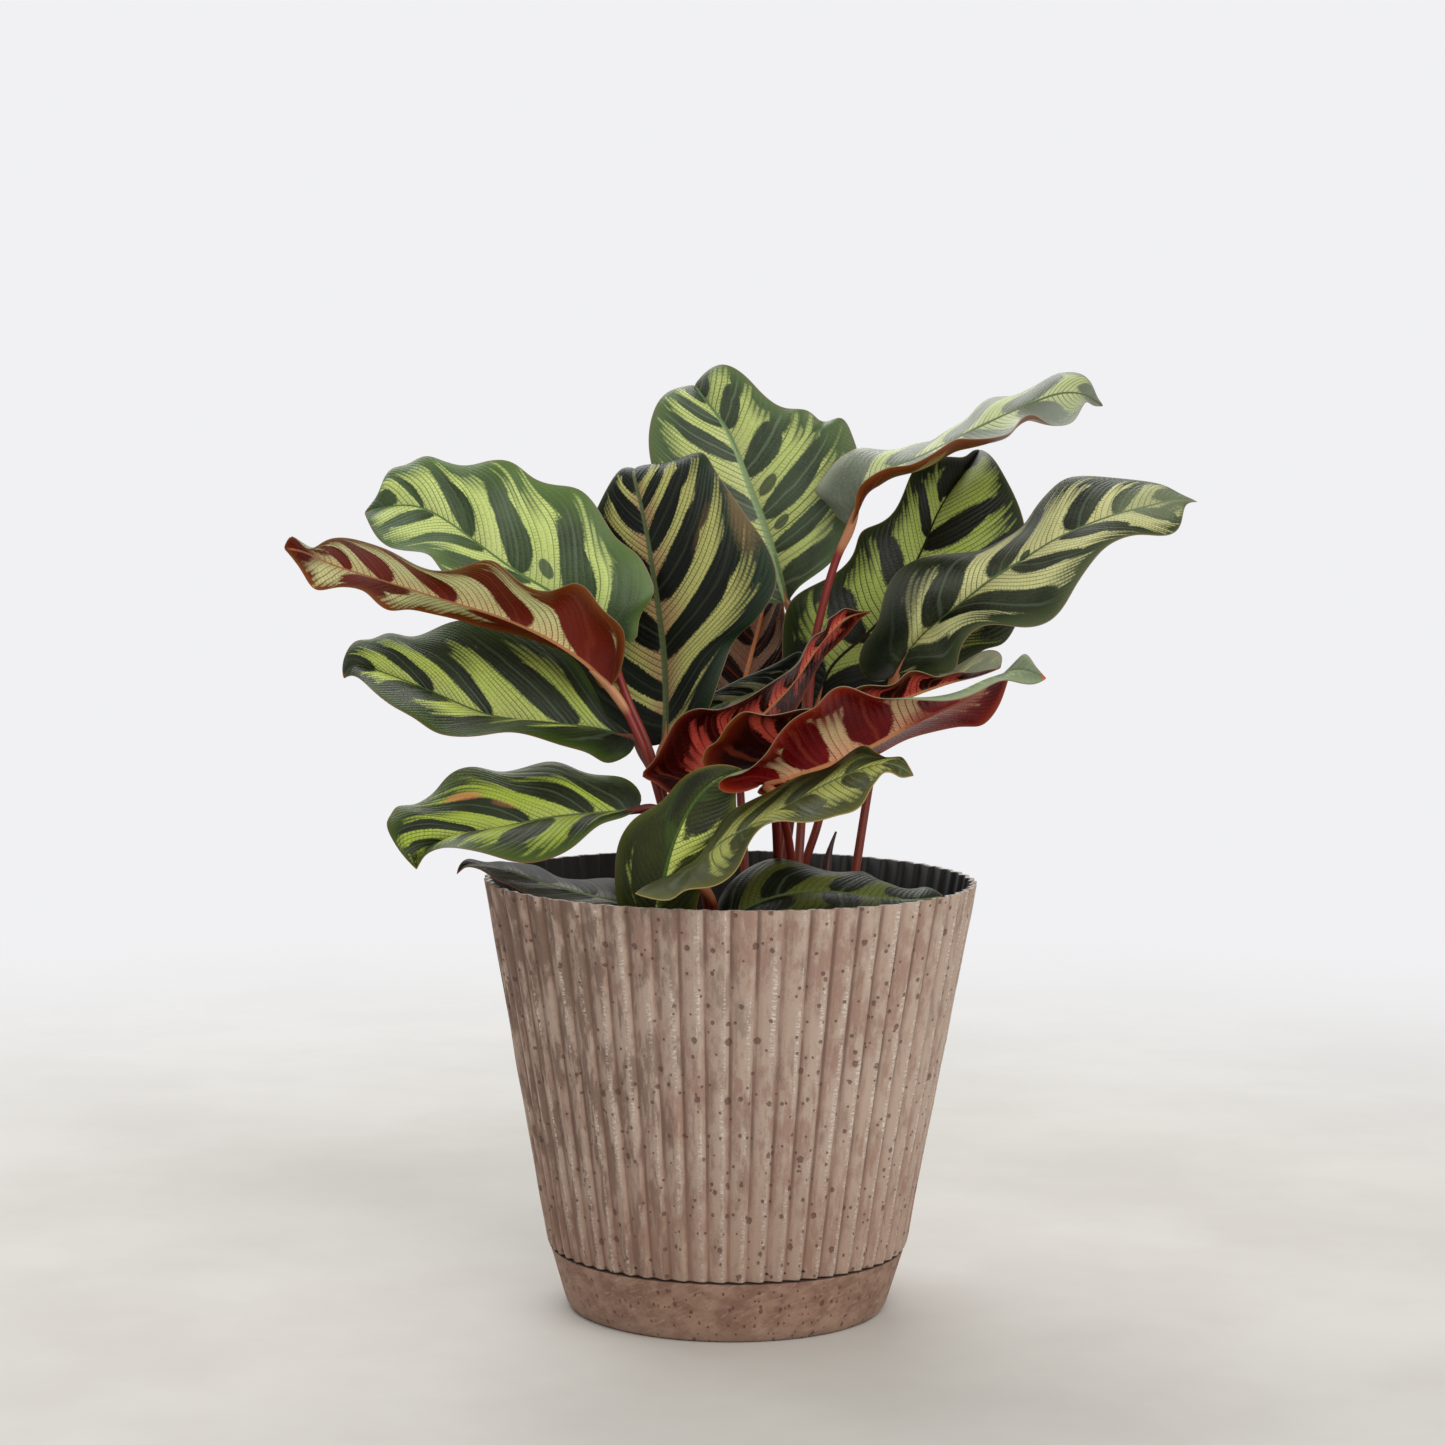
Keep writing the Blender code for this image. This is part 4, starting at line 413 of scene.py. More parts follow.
LOOKS = {
    "top_centre": look_of(
        1, left=(0, 10, 16, 24, 31, 44, 54, 65, 71, 79, 84, 100),
        right=(0, 14, 18, 24.5, 30.5, 39.5, 47.5, 59.5, 70, 80, 88, 100), lean=(1.0, 0.32), bulk=1.7,
        upper=face((186, 198, 118), (190, 198, 128), (46, 56, 36), (74, 86, 62), (74, 94, 54),
            (92, 110, 66), midrib=(134, 156, 108), vein=(126, 140, 108),
            stains=((0.42, 0.16, 0.025, 0.11, 0.3, 0.9, (78, 90, 62)),
                    (0.28, 0.17, 0.02, 0.09, 0.3, 0.9, (78, 90, 62))))),
    "front_dark": look_of(
        2, left=(0, 10, 13, 21, 29.5, 42, 46.5, 62, 69.5, 80, 83.5, 100),
        right=(5, 13, 26, 37, 45, 57.5, 62.5, 72.5, 78, 83, 87.5, 100), lean=(1.1, 1.1), reach=(0.8, 0.84),
        start=-0.06, neck=0.5, bulk=1.5,
        upper=face((172, 172, 102), (160, 132, 92), (10, 12, 7), (20, 26, 14), (16, 30, 16), (34, 52, 30),
            midrib=(88, 98, 62), line=(52, 52, 28), vein=(64, 68, 52), shine=0.22,
            stains=((0.28, 0.98, 0.1, 0.2, 0.9, 0.42, TAN), (0.47, 0.6, 0.03, 0.2, 0.9, 0.2, TAN)))),
    "left_upper": look_of(
        3, left=(0, 8, 14, 24, 30, 42, 49, 59, 70.5, 79.5, 91, 100),
        right=(0, 8, 12, 23.5, 34, 46, 55, 65, 76, 79, 84, 100), lean=(0.8, 0.9),
        upper=face((196, 210, 124), (200, 210, 134), (42, 58, 24), (78, 96, 60), (74, 96, 46),
            (90, 114, 56), midrib=(112, 136, 84), line=(72, 92, 40),
            stains=((0.29, 0.17, 0.03, 0.075, 0.3, 0.95, (92, 106, 74)),))),
    "left_red": look_of(
        4, left=(0, 17.5, 25, 36, 47, 56, 65.5, 74, 78, 83), right=(0, 42, 60, 79, 90, 100),
        lean=(0.8, 0.05), joint=(196, 140, 96),
        under=face((228, 228, 162), (220, 204, 142), (92, 18, 6), (124, 34, 12), (108, 34, 10),
            (144, 76, 28), line=(120, 50, 24))),
    # Its bright light greens are the pattern's own, brightened as painted backlight shining through the
    # blade.
    "left_middle": look_of(
        5, left=(0, 17, 20, 27, 32, 44.5, 57, 75, 85, 100), right=(0, 8, 15, 28.5, 42, 51, 62, 72, 83, 93),
        lean=(0.5, 1.4), reach=(0.66, 0.74), neck=0.5, joint=(112, 60, 42),
        upper=face((190, 206, 100), (188, 198, 112), (20, 27, 8), (44, 56, 28), (38, 54, 14), (60, 82, 26),
            midrib=(84, 104, 60), line=(48, 62, 22), edge=(120, 84, 52))),
    "left_lower": look_of(
        6, left=(0, 6, 10, 19, 31.5, 46, 58, 66, 76, 86),
        right=(0, 10, 14.5, 26.5, 41, 52.5, 64, 72, 80, 88), top=0.98, lean=(0.4, 1.25), reach=(0.8, 0.8),
        joint=(88, 28, 22),
        upper=face((164, 182, 70), (172, 184, 88), (22, 32, 8), (46, 56, 26), (50, 66, 16), (74, 92, 34),
            edge=(122, 92, 56), tip=(150, 130, 60),
            stains=((0.4, 0.62, 0.035, 0.16, 0.8, 0.8, SCAR), (0.41, 0.3, 0.03, 0.1, 0.8, 0.3, SCAR)))),
    # Its bright, saturated yellow-greens are partly painted backlight shining through the blade.
    "front_bright": look_of(
        7, left=(0, 100), right=(0, 36, 48, 100), reach=(0.6, 0.6),
        upper=face((184, 196, 92), (200, 208, 112), (30, 34, 3), (58, 66, 5), (46, 54, 3), (78, 88, 10),
            midrib=(74, 98, 34), edge=(130, 96, 40), vein=(70, 98, 30),
            stains=((0.62, -0.5, 0.2, 0.35, 0.9, 0.7, (16, 20, 6)),))),
    "front_twisted": look_of(
        8, left=(0, 15, 22, 31, 42, 58, 69, 78, 86, 100), right=(0, 15, 22, 31, 42, 58, 69, 78, 86, 100),
        lean=(1.5, 0.25), reach=(0.6, 0.84),
        upper=face((158, 162, 80), (162, 164, 90), (44, 48, 14), (76, 80, 32), (56, 60, 20), (80, 84, 34),
            edge=(160, 140, 84), shine=0.25,
            stains=((0.5, -0.55, 0.45, 0.5, 0.9, 0.8, (28, 34, 15)),))),
    "front_low": look_of(
        9, left=(0, 7, 15.5, 31, 41, 56.5, 66, 100), right=(0, 31, 41, 56.5, 65.5, 75, 85, 100),
        lean=(1.0, -0.3), reach=(0.8, 0.8),
        upper=face((92, 100, 36), (98, 106, 46), (14, 21, 7), (25, 34, 13), (26, 39, 11), (42, 57, 19),
            shine=0.22,
            stains=((0.5, 0.6, 0.7, 0.6, 0.9, 0.35, (12, 20, 6)),))),
    # Its grey, silvery colours and its pale patch are painted sheen, the gloss of a blade seen at a grazing
    # angle.
    "left_rim": look_of(
        10, left=(0, 16, 22, 42, 50, 73, 80, 100), right=(0, 17, 24, 33, 42, 62, 70, 86, 93, 100),
        lean=(0.8, 0.5),
        upper=face((124, 124, 112), (134, 132, 120), (18, 19, 10), (28, 30, 18), (34, 36, 24), (58, 60, 48),
            line=(36, 40, 28), shine=0.12, rough=0.5, edge=(140, 80, 60), tip=(140, 70, 30),
            stains=((0.5, 0.6, 0.7, 0.5, 0.8, 0.6, (6, 7, 3)),
                    (0.5, -0.6, 0.7, 0.5, 0.8, 0.35, (112, 112, 100))))),
    "right_red": look_of(
        11, left=(0, 50, 76, 100), right=(0, 9, 12.5, 25, 32, 47, 56, 71, 80, 86), lean=(0.3, 0.1),
        reach=(0.4, 0.78), bulk=1.2,
        upper=face((156, 172, 96), (178, 186, 116), (92, 106, 76), (110, 122, 92), (120, 134, 96),
            (132, 144, 104), tip=(190, 74, 30)),
        under=face((196, 170, 124), (198, 152, 114), (78, 3, 5), (118, 8, 14), (100, 8, 8), (142, 38, 18),
            line=(122, 30, 22), edge=(168, 104, 72), tip=(190, 74, 30), rough=0.26, shine=0.14,
            stains=((0.62, -0.12, 0.16, 0.42, 0.9, 0.75, (128, 12, 18)),))),
    "middle_red": look_of(
        12, left=(0, 43, 47, 58, 64, 71.5, 86, 100),
        right=(0, 7, 19, 22, 28, 29, 39, 44, 51, 61, 71, 80, 88, 100), lean=(-0.2, 0.42), reach=(0.7, 0.7),
        neck=0.5,
        under=face((200, 84, 68), (216, 112, 92), (30, 3, 2), (66, 6, 4), (38, 4, 2), (88, 20, 8),
            shine=0.16, line=(110, 14, 8), edge=(150, 80, 54), rough=0.28)),
    "inner_red": look_of(
        13, left=(0, 12, 20, 30, 38, 50, 58, 70, 78, 88),
        right=(0, 12, 15, 24.5, 30, 44, 50, 60, 66, 74, 82, 90), lean=(0.5, 0.4),
        upper=face((180, 186, 130), (178, 186, 116), (124, 128, 100), (134, 138, 108), (140, 144, 112),
            (150, 152, 120)),
        under=face((182, 76, 60), (166, 62, 48), (22, 4, 3), (50, 8, 5), (32, 5, 3), (96, 28, 12),
            line=(70, 10, 6), shine=0.14)),
    "back_brown": look_of(
        14, left=(4, 14, 22, 32, 41, 52, 62, 73), right=(8, 18, 27, 38, 48, 60, 69, 78),
        under=face((126, 108, 86), (118, 88, 70), (14, 3, 1), (24, 7, 3), (28, 10, 4), (44, 20, 10),
            shine=0.12)),
    "middle_dark": look_of(
        15, left=(5, 18, 28, 42, 52, 66), right=(10, 24, 34, 48, 58, 72), reach=(0.7, 0.7),
        upper=face((100, 97, 68), (96, 92, 66), (4, 4, 2), (10, 11, 6), (8, 12, 6), (14, 20, 10),
            shine=0.08, edge=(110, 120, 96))),
    # Its bright light greens are the pattern's own, brightened as painted backlight shining through the
    # blade.
    "back_right": look_of(
        16, left=(0, 13, 21, 28.5, 40, 48.5, 60, 66.5, 72, 100),
        right=(0, 11, 22, 28.5, 39, 47, 55.5, 65, 86, 100), lean=(0.3, 1.0), reach=(0.82, 0.82),
        start=-0.04,
        upper=face((152, 168, 78), (156, 168, 92), (8, 10, 2), (18, 22, 7), (22, 30, 8), (40, 56, 16),
            shine=0.25, midrib=(44, 38, 20), line=(24, 30, 10), vein=(40, 46, 26))),
    "right": look_of(
        17, left=(0, 8, 13, 26, 33.5, 45, 58.5, 69, 73, 79, 85, 100),
        right=(0, 9, 15.5, 31, 40.5, 47, 55, 67, 78, 85), lean=(0.9, 0.8), reach=(0.8, 0.84), fade=0.74,
        upper=face((194, 194, 134), (190, 188, 130), (15, 18, 9), (62, 68, 48), (32, 42, 18), (70, 80, 44),
            midrib=(94, 110, 66), shine=0.2,
            stains=((0.47, -0.05, 0.018, 0.07, 0.3, 0.9, DOT),
                    (0.02, -0.75, 0.16, 0.5, 0.9, 0.7, (10, 15, 7)),
                    (0.9, 0.0, 0.2, 1.1, 0.9, 0.5, (134, 144, 108))))),
    # Its greyish colours and its pale patch are painted grey sheen over the pattern.
    "top_right": look_of(
        18, left=(0, 12, 17, 30, 36, 48, 57, 75, 85, 100), right=(0, 15, 22, 36, 42, 52, 60, 78, 90, 100),
        lean=(0.8, 0.5), joint=(196, 134, 92),
        upper=face((176, 186, 124), (182, 188, 136), (90, 98, 78), (120, 126, 106), (118, 126, 104),
            (138, 144, 122), edge=(150, 128, 96),
            stains=((0.5, 0.6, 0.7, 0.6, 0.9, 0.35, (152, 158, 142)),))),
}


def srgb(red, green, blue):
    """A linear colour from the usual 0 to 255 numbers."""
    channels = []
    for value in (red, green, blue):
        share = value / 255
        channels.append(share / 12.92 if share < 0.04045 else ((share + 0.055) / 1.055) ** 2.4)
    return (*channels, 1.0)


def arithmetic(operation, swap=False):
    """An operator on wires that adds one Math node."""
    def act(self, *other):
        return self.web.math(operation, *((*other, self) if swap else (self, *other)))
    return act


class Wire:
    """An output in a shader tree. Plain arithmetic on it adds Math nodes."""

    __add__, __radd__ = arithmetic("ADD"), arithmetic("ADD", swap=True)
    __sub__, __rsub__ = arithmetic("SUBTRACT"), arithmetic("SUBTRACT", swap=True)
    __mul__, __rmul__ = arithmetic("MULTIPLY"), arithmetic("MULTIPLY", swap=True)
    __truediv__ = arithmetic("DIVIDE")
    __pow__ = arithmetic("POWER")
    __abs__ = arithmetic("ABSOLUTE")

    def __init__(self, web, socket):
        self.web = web
        self.socket = socket


class Web:
    """Adds nodes to a material's tree and returns their outputs as wires."""

    def __init__(self, name):
        self.material = bpy.data.materials.new(name)
        self.material.use_nodes = True
        self.tree = self.material.node_tree
        self.shader = self.tree.nodes["Principled BSDF"]

    def feed(self, socket, value):
        if isinstance(value, Wire):
            self.tree.links.new(value.socket, socket)
        else:
            socket.default_value = value

    def node(self, kind, inputs, output=0, **settings):
        """A new node with its inputs fed, and one of its outputs as a wire."""
        made = self.tree.nodes.new("ShaderNode" + kind)
        for name, value in settings.items():
            setattr(made, name, value)
        for key, value in inputs.items():
            self.feed(made.inputs[key], value)
        return Wire(self, made.outputs[output])

    def math(self, operation, *values):
        return self.node("Math", dict(enumerate(values)), operation=operation)

    def rise(self, value, low, high):
        """0 at low, 1 at high and smooth between them. With high below low it falls."""
        inputs = {"Value": value, "From Min": low, "From Max": high}
        return self.node("MapRange", inputs, "Result", interpolation_type="SMOOTHSTEP")

    def colours(self, share, first, second):
        """A mix of two colours, each a wire or three numbers from 0 to 255."""
        pair = [srgb(*paint) if isinstance(paint, tuple) else paint for paint in (first, second)]
        return self.node("Mix", {0: share, 6: pair[0], 7: pair[1]}, 2, data_type="RGBA")

    def layers(self, colour, *coats):
        """Paints coats over a colour, each given as its share and its colour."""
        for share, paint in coats:
            colour = self.colours(share, colour, paint)
        return colour

    def deepen(self, colour, gamma, gain):
        """More contrast: darker darks, then each channel brighter by its gain."""
        darker = self.node("Gamma", {"Color": colour, "Gamma": gamma})
        return self.node("VectorMath", {0: darker, 1: gain}, operation="MULTIPLY")

    def join(self, x, y, z=0.0):
        return self.node("CombineXYZ", {"X": x, "Y": y, "Z": z})

    def parts(self, vector):
        split = self.node("SeparateXYZ", {0: vector}).socket.node
        return [Wire(self, output) for output in split.outputs]

    def attribute(self, name):
        return self.parts(self.node("Attribute", {}, "Vector", attribute_name=name))

    def place(self):
        return self.node("TexCoord", {}, "Object")

    def noise(self, vector, scale=1.0, detail=2.0, roughness=0.5):
        inputs = {"Vector": vector, "Scale": scale, "Detail": detail, "Roughness": roughness}
        return self.node("TexNoise", inputs)

    def cells(self, x, y):
        """Distance to the nearest of a plane's scattered points, about one apart, and its colour."""
        inputs = {"Vector": self.join(x, y), "Scale": 1.0}
        near = self.node("TexVoronoi", inputs, "Distance", voronoi_dimensions="2D")
        return near, Wire(self, near.socket.node.outputs["Color"])

    def chance(self, x, y):
        """An even random number from 0 to 1 for each pair of whole numbers."""
        return self.node("TexWhiteNoise", {"Vector": self.join(x, y)}, "Value", noise_dimensions="2D")

    def finish(self, colour, roughness, height, depth, specular=0.5):
        """Colour, roughness and relief go to the shader. The relief's depth is in mm."""
        bump = self.node("Bump", {"Strength": 1.0, "Distance": depth * MM, "Height": height}, "Normal")
        for name, value in (("Base Color", colour), ("Roughness", roughness), ("Normal", bump)):
            self.feed(self.shader.inputs[name], value)
        self.shader.inputs["Specular IOR Level"].default_value = specular
        return self.material


def seen_at(points):
    """Real places of points given as they are seen from the front."""
    points = np.asarray(points, dtype=float)
    depth = points[:, 2]
    grow = 1.0 - depth / EYE[1]
    across = EYE[0] + (points[:, 0] - EYE[0]) * grow
    up = EYE[2] + (points[:, 1] - EYE[2]) * grow
    return np.column_stack((across, depth, up))


def smooth_curve(points, shares):
    """A natural cubic curve through the points, read at the given shares of its length."""
    chords = np.linalg.norm(np.diff(points, axis=0), axis=1)
    knots = np.concatenate(([0.0], np.cumsum(np.sqrt(chords))))
    count = len(points)
    spans = np.diff(knots)
    matrix = np.eye(count)
    sides = np.zeros((count, 3))
    for i in range(1, count - 1):
        matrix[i, i - 1:i + 2] = (spans[i - 1], 2 * (spans[i - 1] + spans[i]), spans[i])
        ahead = (points[i + 1] - points[i]) / spans[i]
        behind = (points[i] - points[i - 1]) / spans[i - 1]
        sides[i] = 6 * (ahead - behind)
    bends = np.linalg.solve(matrix, sides)

    def at(places):
        i = np.clip(np.searchsorted(knots, places, side="right") - 1, 0, count - 2)
        span = spans[i][:, None]
        v = ((places - knots[i]) / spans[i])[:, None]
        u = 1 - v
        bend = (u ** 3 - u) * bends[i] + (v ** 3 - v) * bends[i + 1]
        return u * points[i] + v * points[i + 1] + bend * span ** 2 / 6

    fine = np.linspace(0.0, knots[-1], CURVE_STEPS)
    steps = np.linalg.norm(np.diff(at(fine), axis=0), axis=1)
    length = np.concatenate(([0.0], np.cumsum(steps)))
    return at(np.interp(np.asarray(shares) * length[-1], length, fine))


def unit(vectors):
    return vectors / np.maximum(np.linalg.norm(vectors, axis=-1, keepdims=True), 1e-9)


def blade_surface(leaf):
    """The blade's middle surface as rows of points from margin to margin, with the way up at each
    point, the rows' shares of the length and the points' places from -1 to 1."""
    shares = np.linspace(FIRST_ROW, LAST_ROW, BLADE_ROWS)
    base = seen_at(leaf["middle"][:1])
    tip = seen_at(leaf["middle"][-1:])
    middle = smooth_curve(seen_at(leaf["middle"]), shares)
    along = unit(np.gradient(middle, axis=0))
    places = np.linspace(-1.0, 1.0, 2 * BLADE_COLUMNS + 1)
    surface = np.zeros((BLADE_ROWS, len(places), 3))
    for side, name in enumerate(("left", "right")):
        through = np.concatenate((base, seen_at(leaf[name]), tip))
        margin = smooth_curve(through, shares ** leaf.get("lead", USUAL_LEAD)[side])
        out = margin - middle
        width = np.linalg.norm(out, axis=1)[:, None]
        up = unit(np.cross(out, along)) * (1.0 if side else -1.0)
        arch = leaf["arch"][side] * np.minimum(1.0, width / FULL_ARCH_WIDTH)
        for column, place in enumerate(places):
            if (place > 0) != bool(side) and place != 0:
                continue
            share = abs(place)
            surface[:, column] = middle + out * share + up * arch * 4 * share * (1 - share)
    up = unit(np.cross(np.gradient(surface, axis=1), np.gradient(surface, axis=0)))
    return surface, up, shares, places


def grid_faces(rows, columns, start=0, flip=False):
    """Quads of a grid of points."""
    near = np.arange(rows - 1)[:, None] * columns + np.arange(columns - 1)[None, :] + start
    ring = np.stack((near, near + 1, near + columns + 1, near + columns), axis=-1).reshape(-1, 4)
    return ring[:, ::-1] if flip else ring


def ring_faces(near, far):
    """Quads between closed rings of points and the next rings, from the points' numbers."""
    return np.stack((near, np.roll(near, -1, -1), np.roll(far, -1, -1), far), axis=-1).reshape(-1, 4)


def tube_faces(rows, sides):
    """Quads of a tube and a cap on each end."""
    index = np.arange(rows * sides).reshape(rows, sides)
    return [*ring_faces(index[:-1], index[1:]), index[0, ::-1], index[-1]]


def make_mesh(name, points, faces, materials, slots=None, crease=None):
    """An object from points, shaded smooth up to the crease's angle in degrees."""
    data = bpy.data.meshes.new(name)
    data.from_pydata((np.asarray(points) * MM).tolist(), [], [list(map(int, f)) for f in faces])
    for material in materials:
        data.materials.append(material)
    if slots is not None:
        data.polygons.foreach_set("material_index", np.asarray(slots, dtype=np.int32))
    data.shade_smooth()
    data.update()
    if crease is not None:
        data.set_sharp_from_angle(angle=math.radians(crease))
    item = bpy.data.objects.new(name, data)
    bpy.context.scene.collection.objects.link(item)
    return item


def write_attribute(item, name, *channels):
    """Three numbers for each point of a grid. A blade's upper and lower points share them."""
    grid = np.stack(np.broadcast_arrays(*channels), axis=-1).reshape(-1, 3)
    values = np.tile(grid, (len(item.data.vertices) // len(grid), 1))
    made = item.data.attributes.new(name, "FLOAT_VECTOR", "POINT")
    made.data.foreach_set("vector", values.astype(np.float32).ravel())


def vein_place(shares, places, lean):
    """Where on the midrib the vein through each point starts: veins run out and bend towards the
    tip, on each side as far as that side's lean says."""
    out = np.abs(places)[None, :]
    bend = np.where(places > 0, lean[1], lean[0])[None, :] * (0.8 * out ** 1.2 + 0.6 * out ** 4)
    return shares[:, None] ** (1.0 + bend)


def oval_phase(veins, ovals):
    """Counts the dark ovals along a side: each lies between a quarter and three quarters past a
    whole number."""
    edges = np.asarray(ovals) / 100.0
    phases = 0.25 + 0.5 * np.arange(len(edges))
    return np.interp(veins, edges, phases) + np.minimum(0.0, veins - edges[0]) * 6.0


def lay_flat(item, places, faces):
    """Gives the mesh the map that its colours are baked through: one place for each corner."""
    layer = item.data.uv_layers.new(name="OFBake")
    layer.data.foreach_set("uv", places[faces].astype(np.float32).ravel())


def flatten_blade(item, faces, ring, rows, columns):
    """The upper face fills the map's left half, with the edge round it, and the underside fills
    the right half."""
    row, column = np.divmod(np.arange(rows * columns), columns)
    upper = np.stack((0.01 + 0.23 * column / (columns - 1), 0.01 + 0.48 * row / (rows - 1)), axis=-1) * 2
    away = np.stack((1.0 * (column == columns - 1) - (column == 0),
                     1.0 * (row == rows - 1) - (row == 0)), axis=-1)
    outer = (upper + away * 0.008)[ring]
    places = np.concatenate((upper, upper + (0.5, 0.0), outer))
    corners = faces.copy()
    start = 2 * rows * columns + np.arange(len(ring))
    corners[-len(ring):, 2] = start
    corners[-len(ring):, 3] = np.roll(start, -1)
    lay_flat(item, places, corners)


def build_blade(name, leaf, look):
    """A blade's two faces and its edge, with the gentle pleats of its big veins."""
    surface, up, shares, places = blade_surface(leaf)
    rows, columns = surface.shape[:2]
    steps = np.linalg.norm(np.diff(surface, axis=1), axis=2)
    run = np.concatenate((np.zeros((rows, 1)), np.cumsum(steps, axis=1)), axis=1)
    across = run - run[:, [BLADE_COLUMNS]]
    to_margin = np.minimum(run, run[:, [-1]] - run)
    lengths = np.linalg.norm(np.diff(surface[:, BLADE_COLUMNS], axis=0), axis=1)
    along = np.concatenate(([0.0], np.cumsum(lengths)))[:, None]
    veins = vein_place(shares, places, look["lean"])
    phases = [oval_phase(veins, ovals) for ovals in look["ovals"]]
    phase = np.where(places > 0, phases[1], phases[0])
    share = np.abs(places)[None, :]
    pleat = PLEAT * np.cos(TURN * phase) * 4 * share * (1 - share)
    body = MARGIN_HALF + (BLADE_HALF - MARGIN_HALF) * np.minimum(1.0, to_margin / MARGIN_REACH)
    ridge = np.exp(-(across / RIB_REACH) ** 2)
    rib = RIB_HEIGHT * ridge * (1 - shares[:, None]) ** 0.6
    top = surface + up * (body + pleat - GROOVE_DEPTH * ridge)[..., None]
    under = surface - up * (body - pleat + rib)[..., None]
    points = np.concatenate((top.reshape(-1, 3), under.reshape(-1, 3)))
    half = rows * columns
    upper_faces = grid_faces(rows, columns)
    lower_faces = grid_faces(rows, columns, half, flip=True)
    index = np.arange(half).reshape(rows, columns)
    ring = np.concatenate((index[:0:-1, 0], index[0, :-1], index[:-1, -1], index[-1, :0:-1]))
    after = np.roll(ring, -1)
    edge_faces = np.stack((after, ring, ring + half, after + half), axis=-1)
    faces = np.concatenate((upper_faces, lower_faces, edge_faces))
    slots = np.repeat((0, 1, 0), (len(upper_faces), len(lower_faces), len(edge_faces)))
    look = {**look, "lines": round(along[-1, 0] / LINE_STEP)}
    materials = [face_material(name, look, side) for side in ("upper", "under")]
    item = make_mesh(name, points, faces, materials, slots, crease=BLADE_CREASE)
    flatten_blade(item, faces, ring, rows, columns)
    write_attribute(item, "place", veins, places[None, :], shares[:, None])
    write_attribute(item, "ovals", *phases, 0.0)
    write_attribute(item, "span", across, to_margin, along)
    return item, surface, up


def leaf_marks(web, look):
    """The peacock pattern as masks. Dark ovals stand on the midrib in a light field. Their outer
    ends slant, so that the light on the side towards the stalk hooks round them. Outside them the
    light breaks up into strips between the fine veins, then into dots, and ends in the dark band
    along the margin. Ticks like rungs cross the light between the veins."""
    vein, place, share = web.attribute("place")
    across, rim, along = web.attribute("span")
    left, right, _ = web.attribute("ovals")
    out = abs(place)
    side = web.math("GREATER_THAN", place, 0.0)
    seed = look["seed"]
    drift = web.noise(web.join(vein * 7.0 + seed, place * 2.5, side * 7.0), detail=3.0) - 0.5
    phase = left + (right - left) * side + drift * 0.16
    slot = web.math("FRACT", phase)
    away = abs(slot - 0.5) * 2.0
    lines = vein * look["lines"] + drift * 0.5
    strip = web.math("FLOOR", lines)
    strip_chance = web.chance(strip + seed, side * 57.0)
    cell_chance = web.chance(web.math("FLOOR", phase) + seed, side * 17.0 + 3.0)
    stripe_chance = web.chance(web.math("FLOOR", phase + 0.5) + seed, side * 31.0 + 8.0)
    fine = web.noise(web.join(across * 1.1, along * 1.1, side * 9.0 + seed), detail=3.0) - 0.5
    end = look["end"] + (slot - 0.5) * 0.3 + (cell_chance - 0.5) * 0.16
    middle = (end + look["start"]) * 0.5
    round_off = abs((out - middle) / (end - middle)) ** 2.4
    wide = 0.54 * web.math("POWER", web.math("MAXIMUM", 1.0 - round_off, 0.0), 0.5)
    wide = web.math("MAXIMUM", wide, web.rise(out, middle, end + 0.12) * look["neck"])
    big = web.rise(wide - away + fine * 0.14 + (strip_chance - 0.5) * 0.05, -0.06, 0.05)
    reach = look["reach"][0] + (look["reach"][1] - look["reach"][0]) * side
    reach = reach + (strip_chance - 0.5) * 0.26 + (stripe_chance - 0.5) * 0.16 + fine * 0.1
    reach = reach - 0.3 * web.rise(share, 0.22, 0.02)
    out_along = (abs(across) + along) * 0.7
    beat = web.math("FRACT", out_along / TICK_STEP + strip_chance * 5.0 + fine * 1.8)
    tick = web.rise(abs(beat - 0.5), 0.25, 0.46) * web.rise(fine + strip_chance * 0.2, -0.1, 0.2)
    gap = 0.5 - abs(web.math("FRACT", lines) - 0.5)
    edge = web.rise(away - wide, 0.22, 0.0)
    outer = web.rise(reach - out, 0.3, 0.02)
    light = (1.0 - big) * web.rise(reach - out, -0.03, 0.03)
    light = light * web.rise(vein, look["top"] + 0.03, look["top"] - 0.05)
    light = light * (1.0 - tick * (0.34 + 0.4 * web.math("MAXIMUM", outer, edge)))
    light = light * (1.0 - outer * (0.4 + 0.5 * web.rise(gap, 0.34, 0.14)))
    line = web.rise(gap, 0.13, 0.04) * web.rise(strip_chance, -0.2, 0.6) * web.rise(out, 0.97, 0.8)
    bulk = look["bulk"] * (1.0 - 0.6 * share)
    midrib = web.rise(abs(across), bulk * 1.25, bulk * 0.75)
    centre = web.rise(away, 0.07, 0.02) * web.rise(out, 0.9, 0.75)
    dome = web.math("SQRT", gap * 2.0) * web.rise(out, 1.0, 0.9)
    return dict(light=light, big=big, line=line, tick=tick, midrib=midrib, rim=rim, centre=centre,
                out=out, share=share, vein=vein, fine=fine, across=across, along=along, dome=dome,
                side=side, slot=slot)


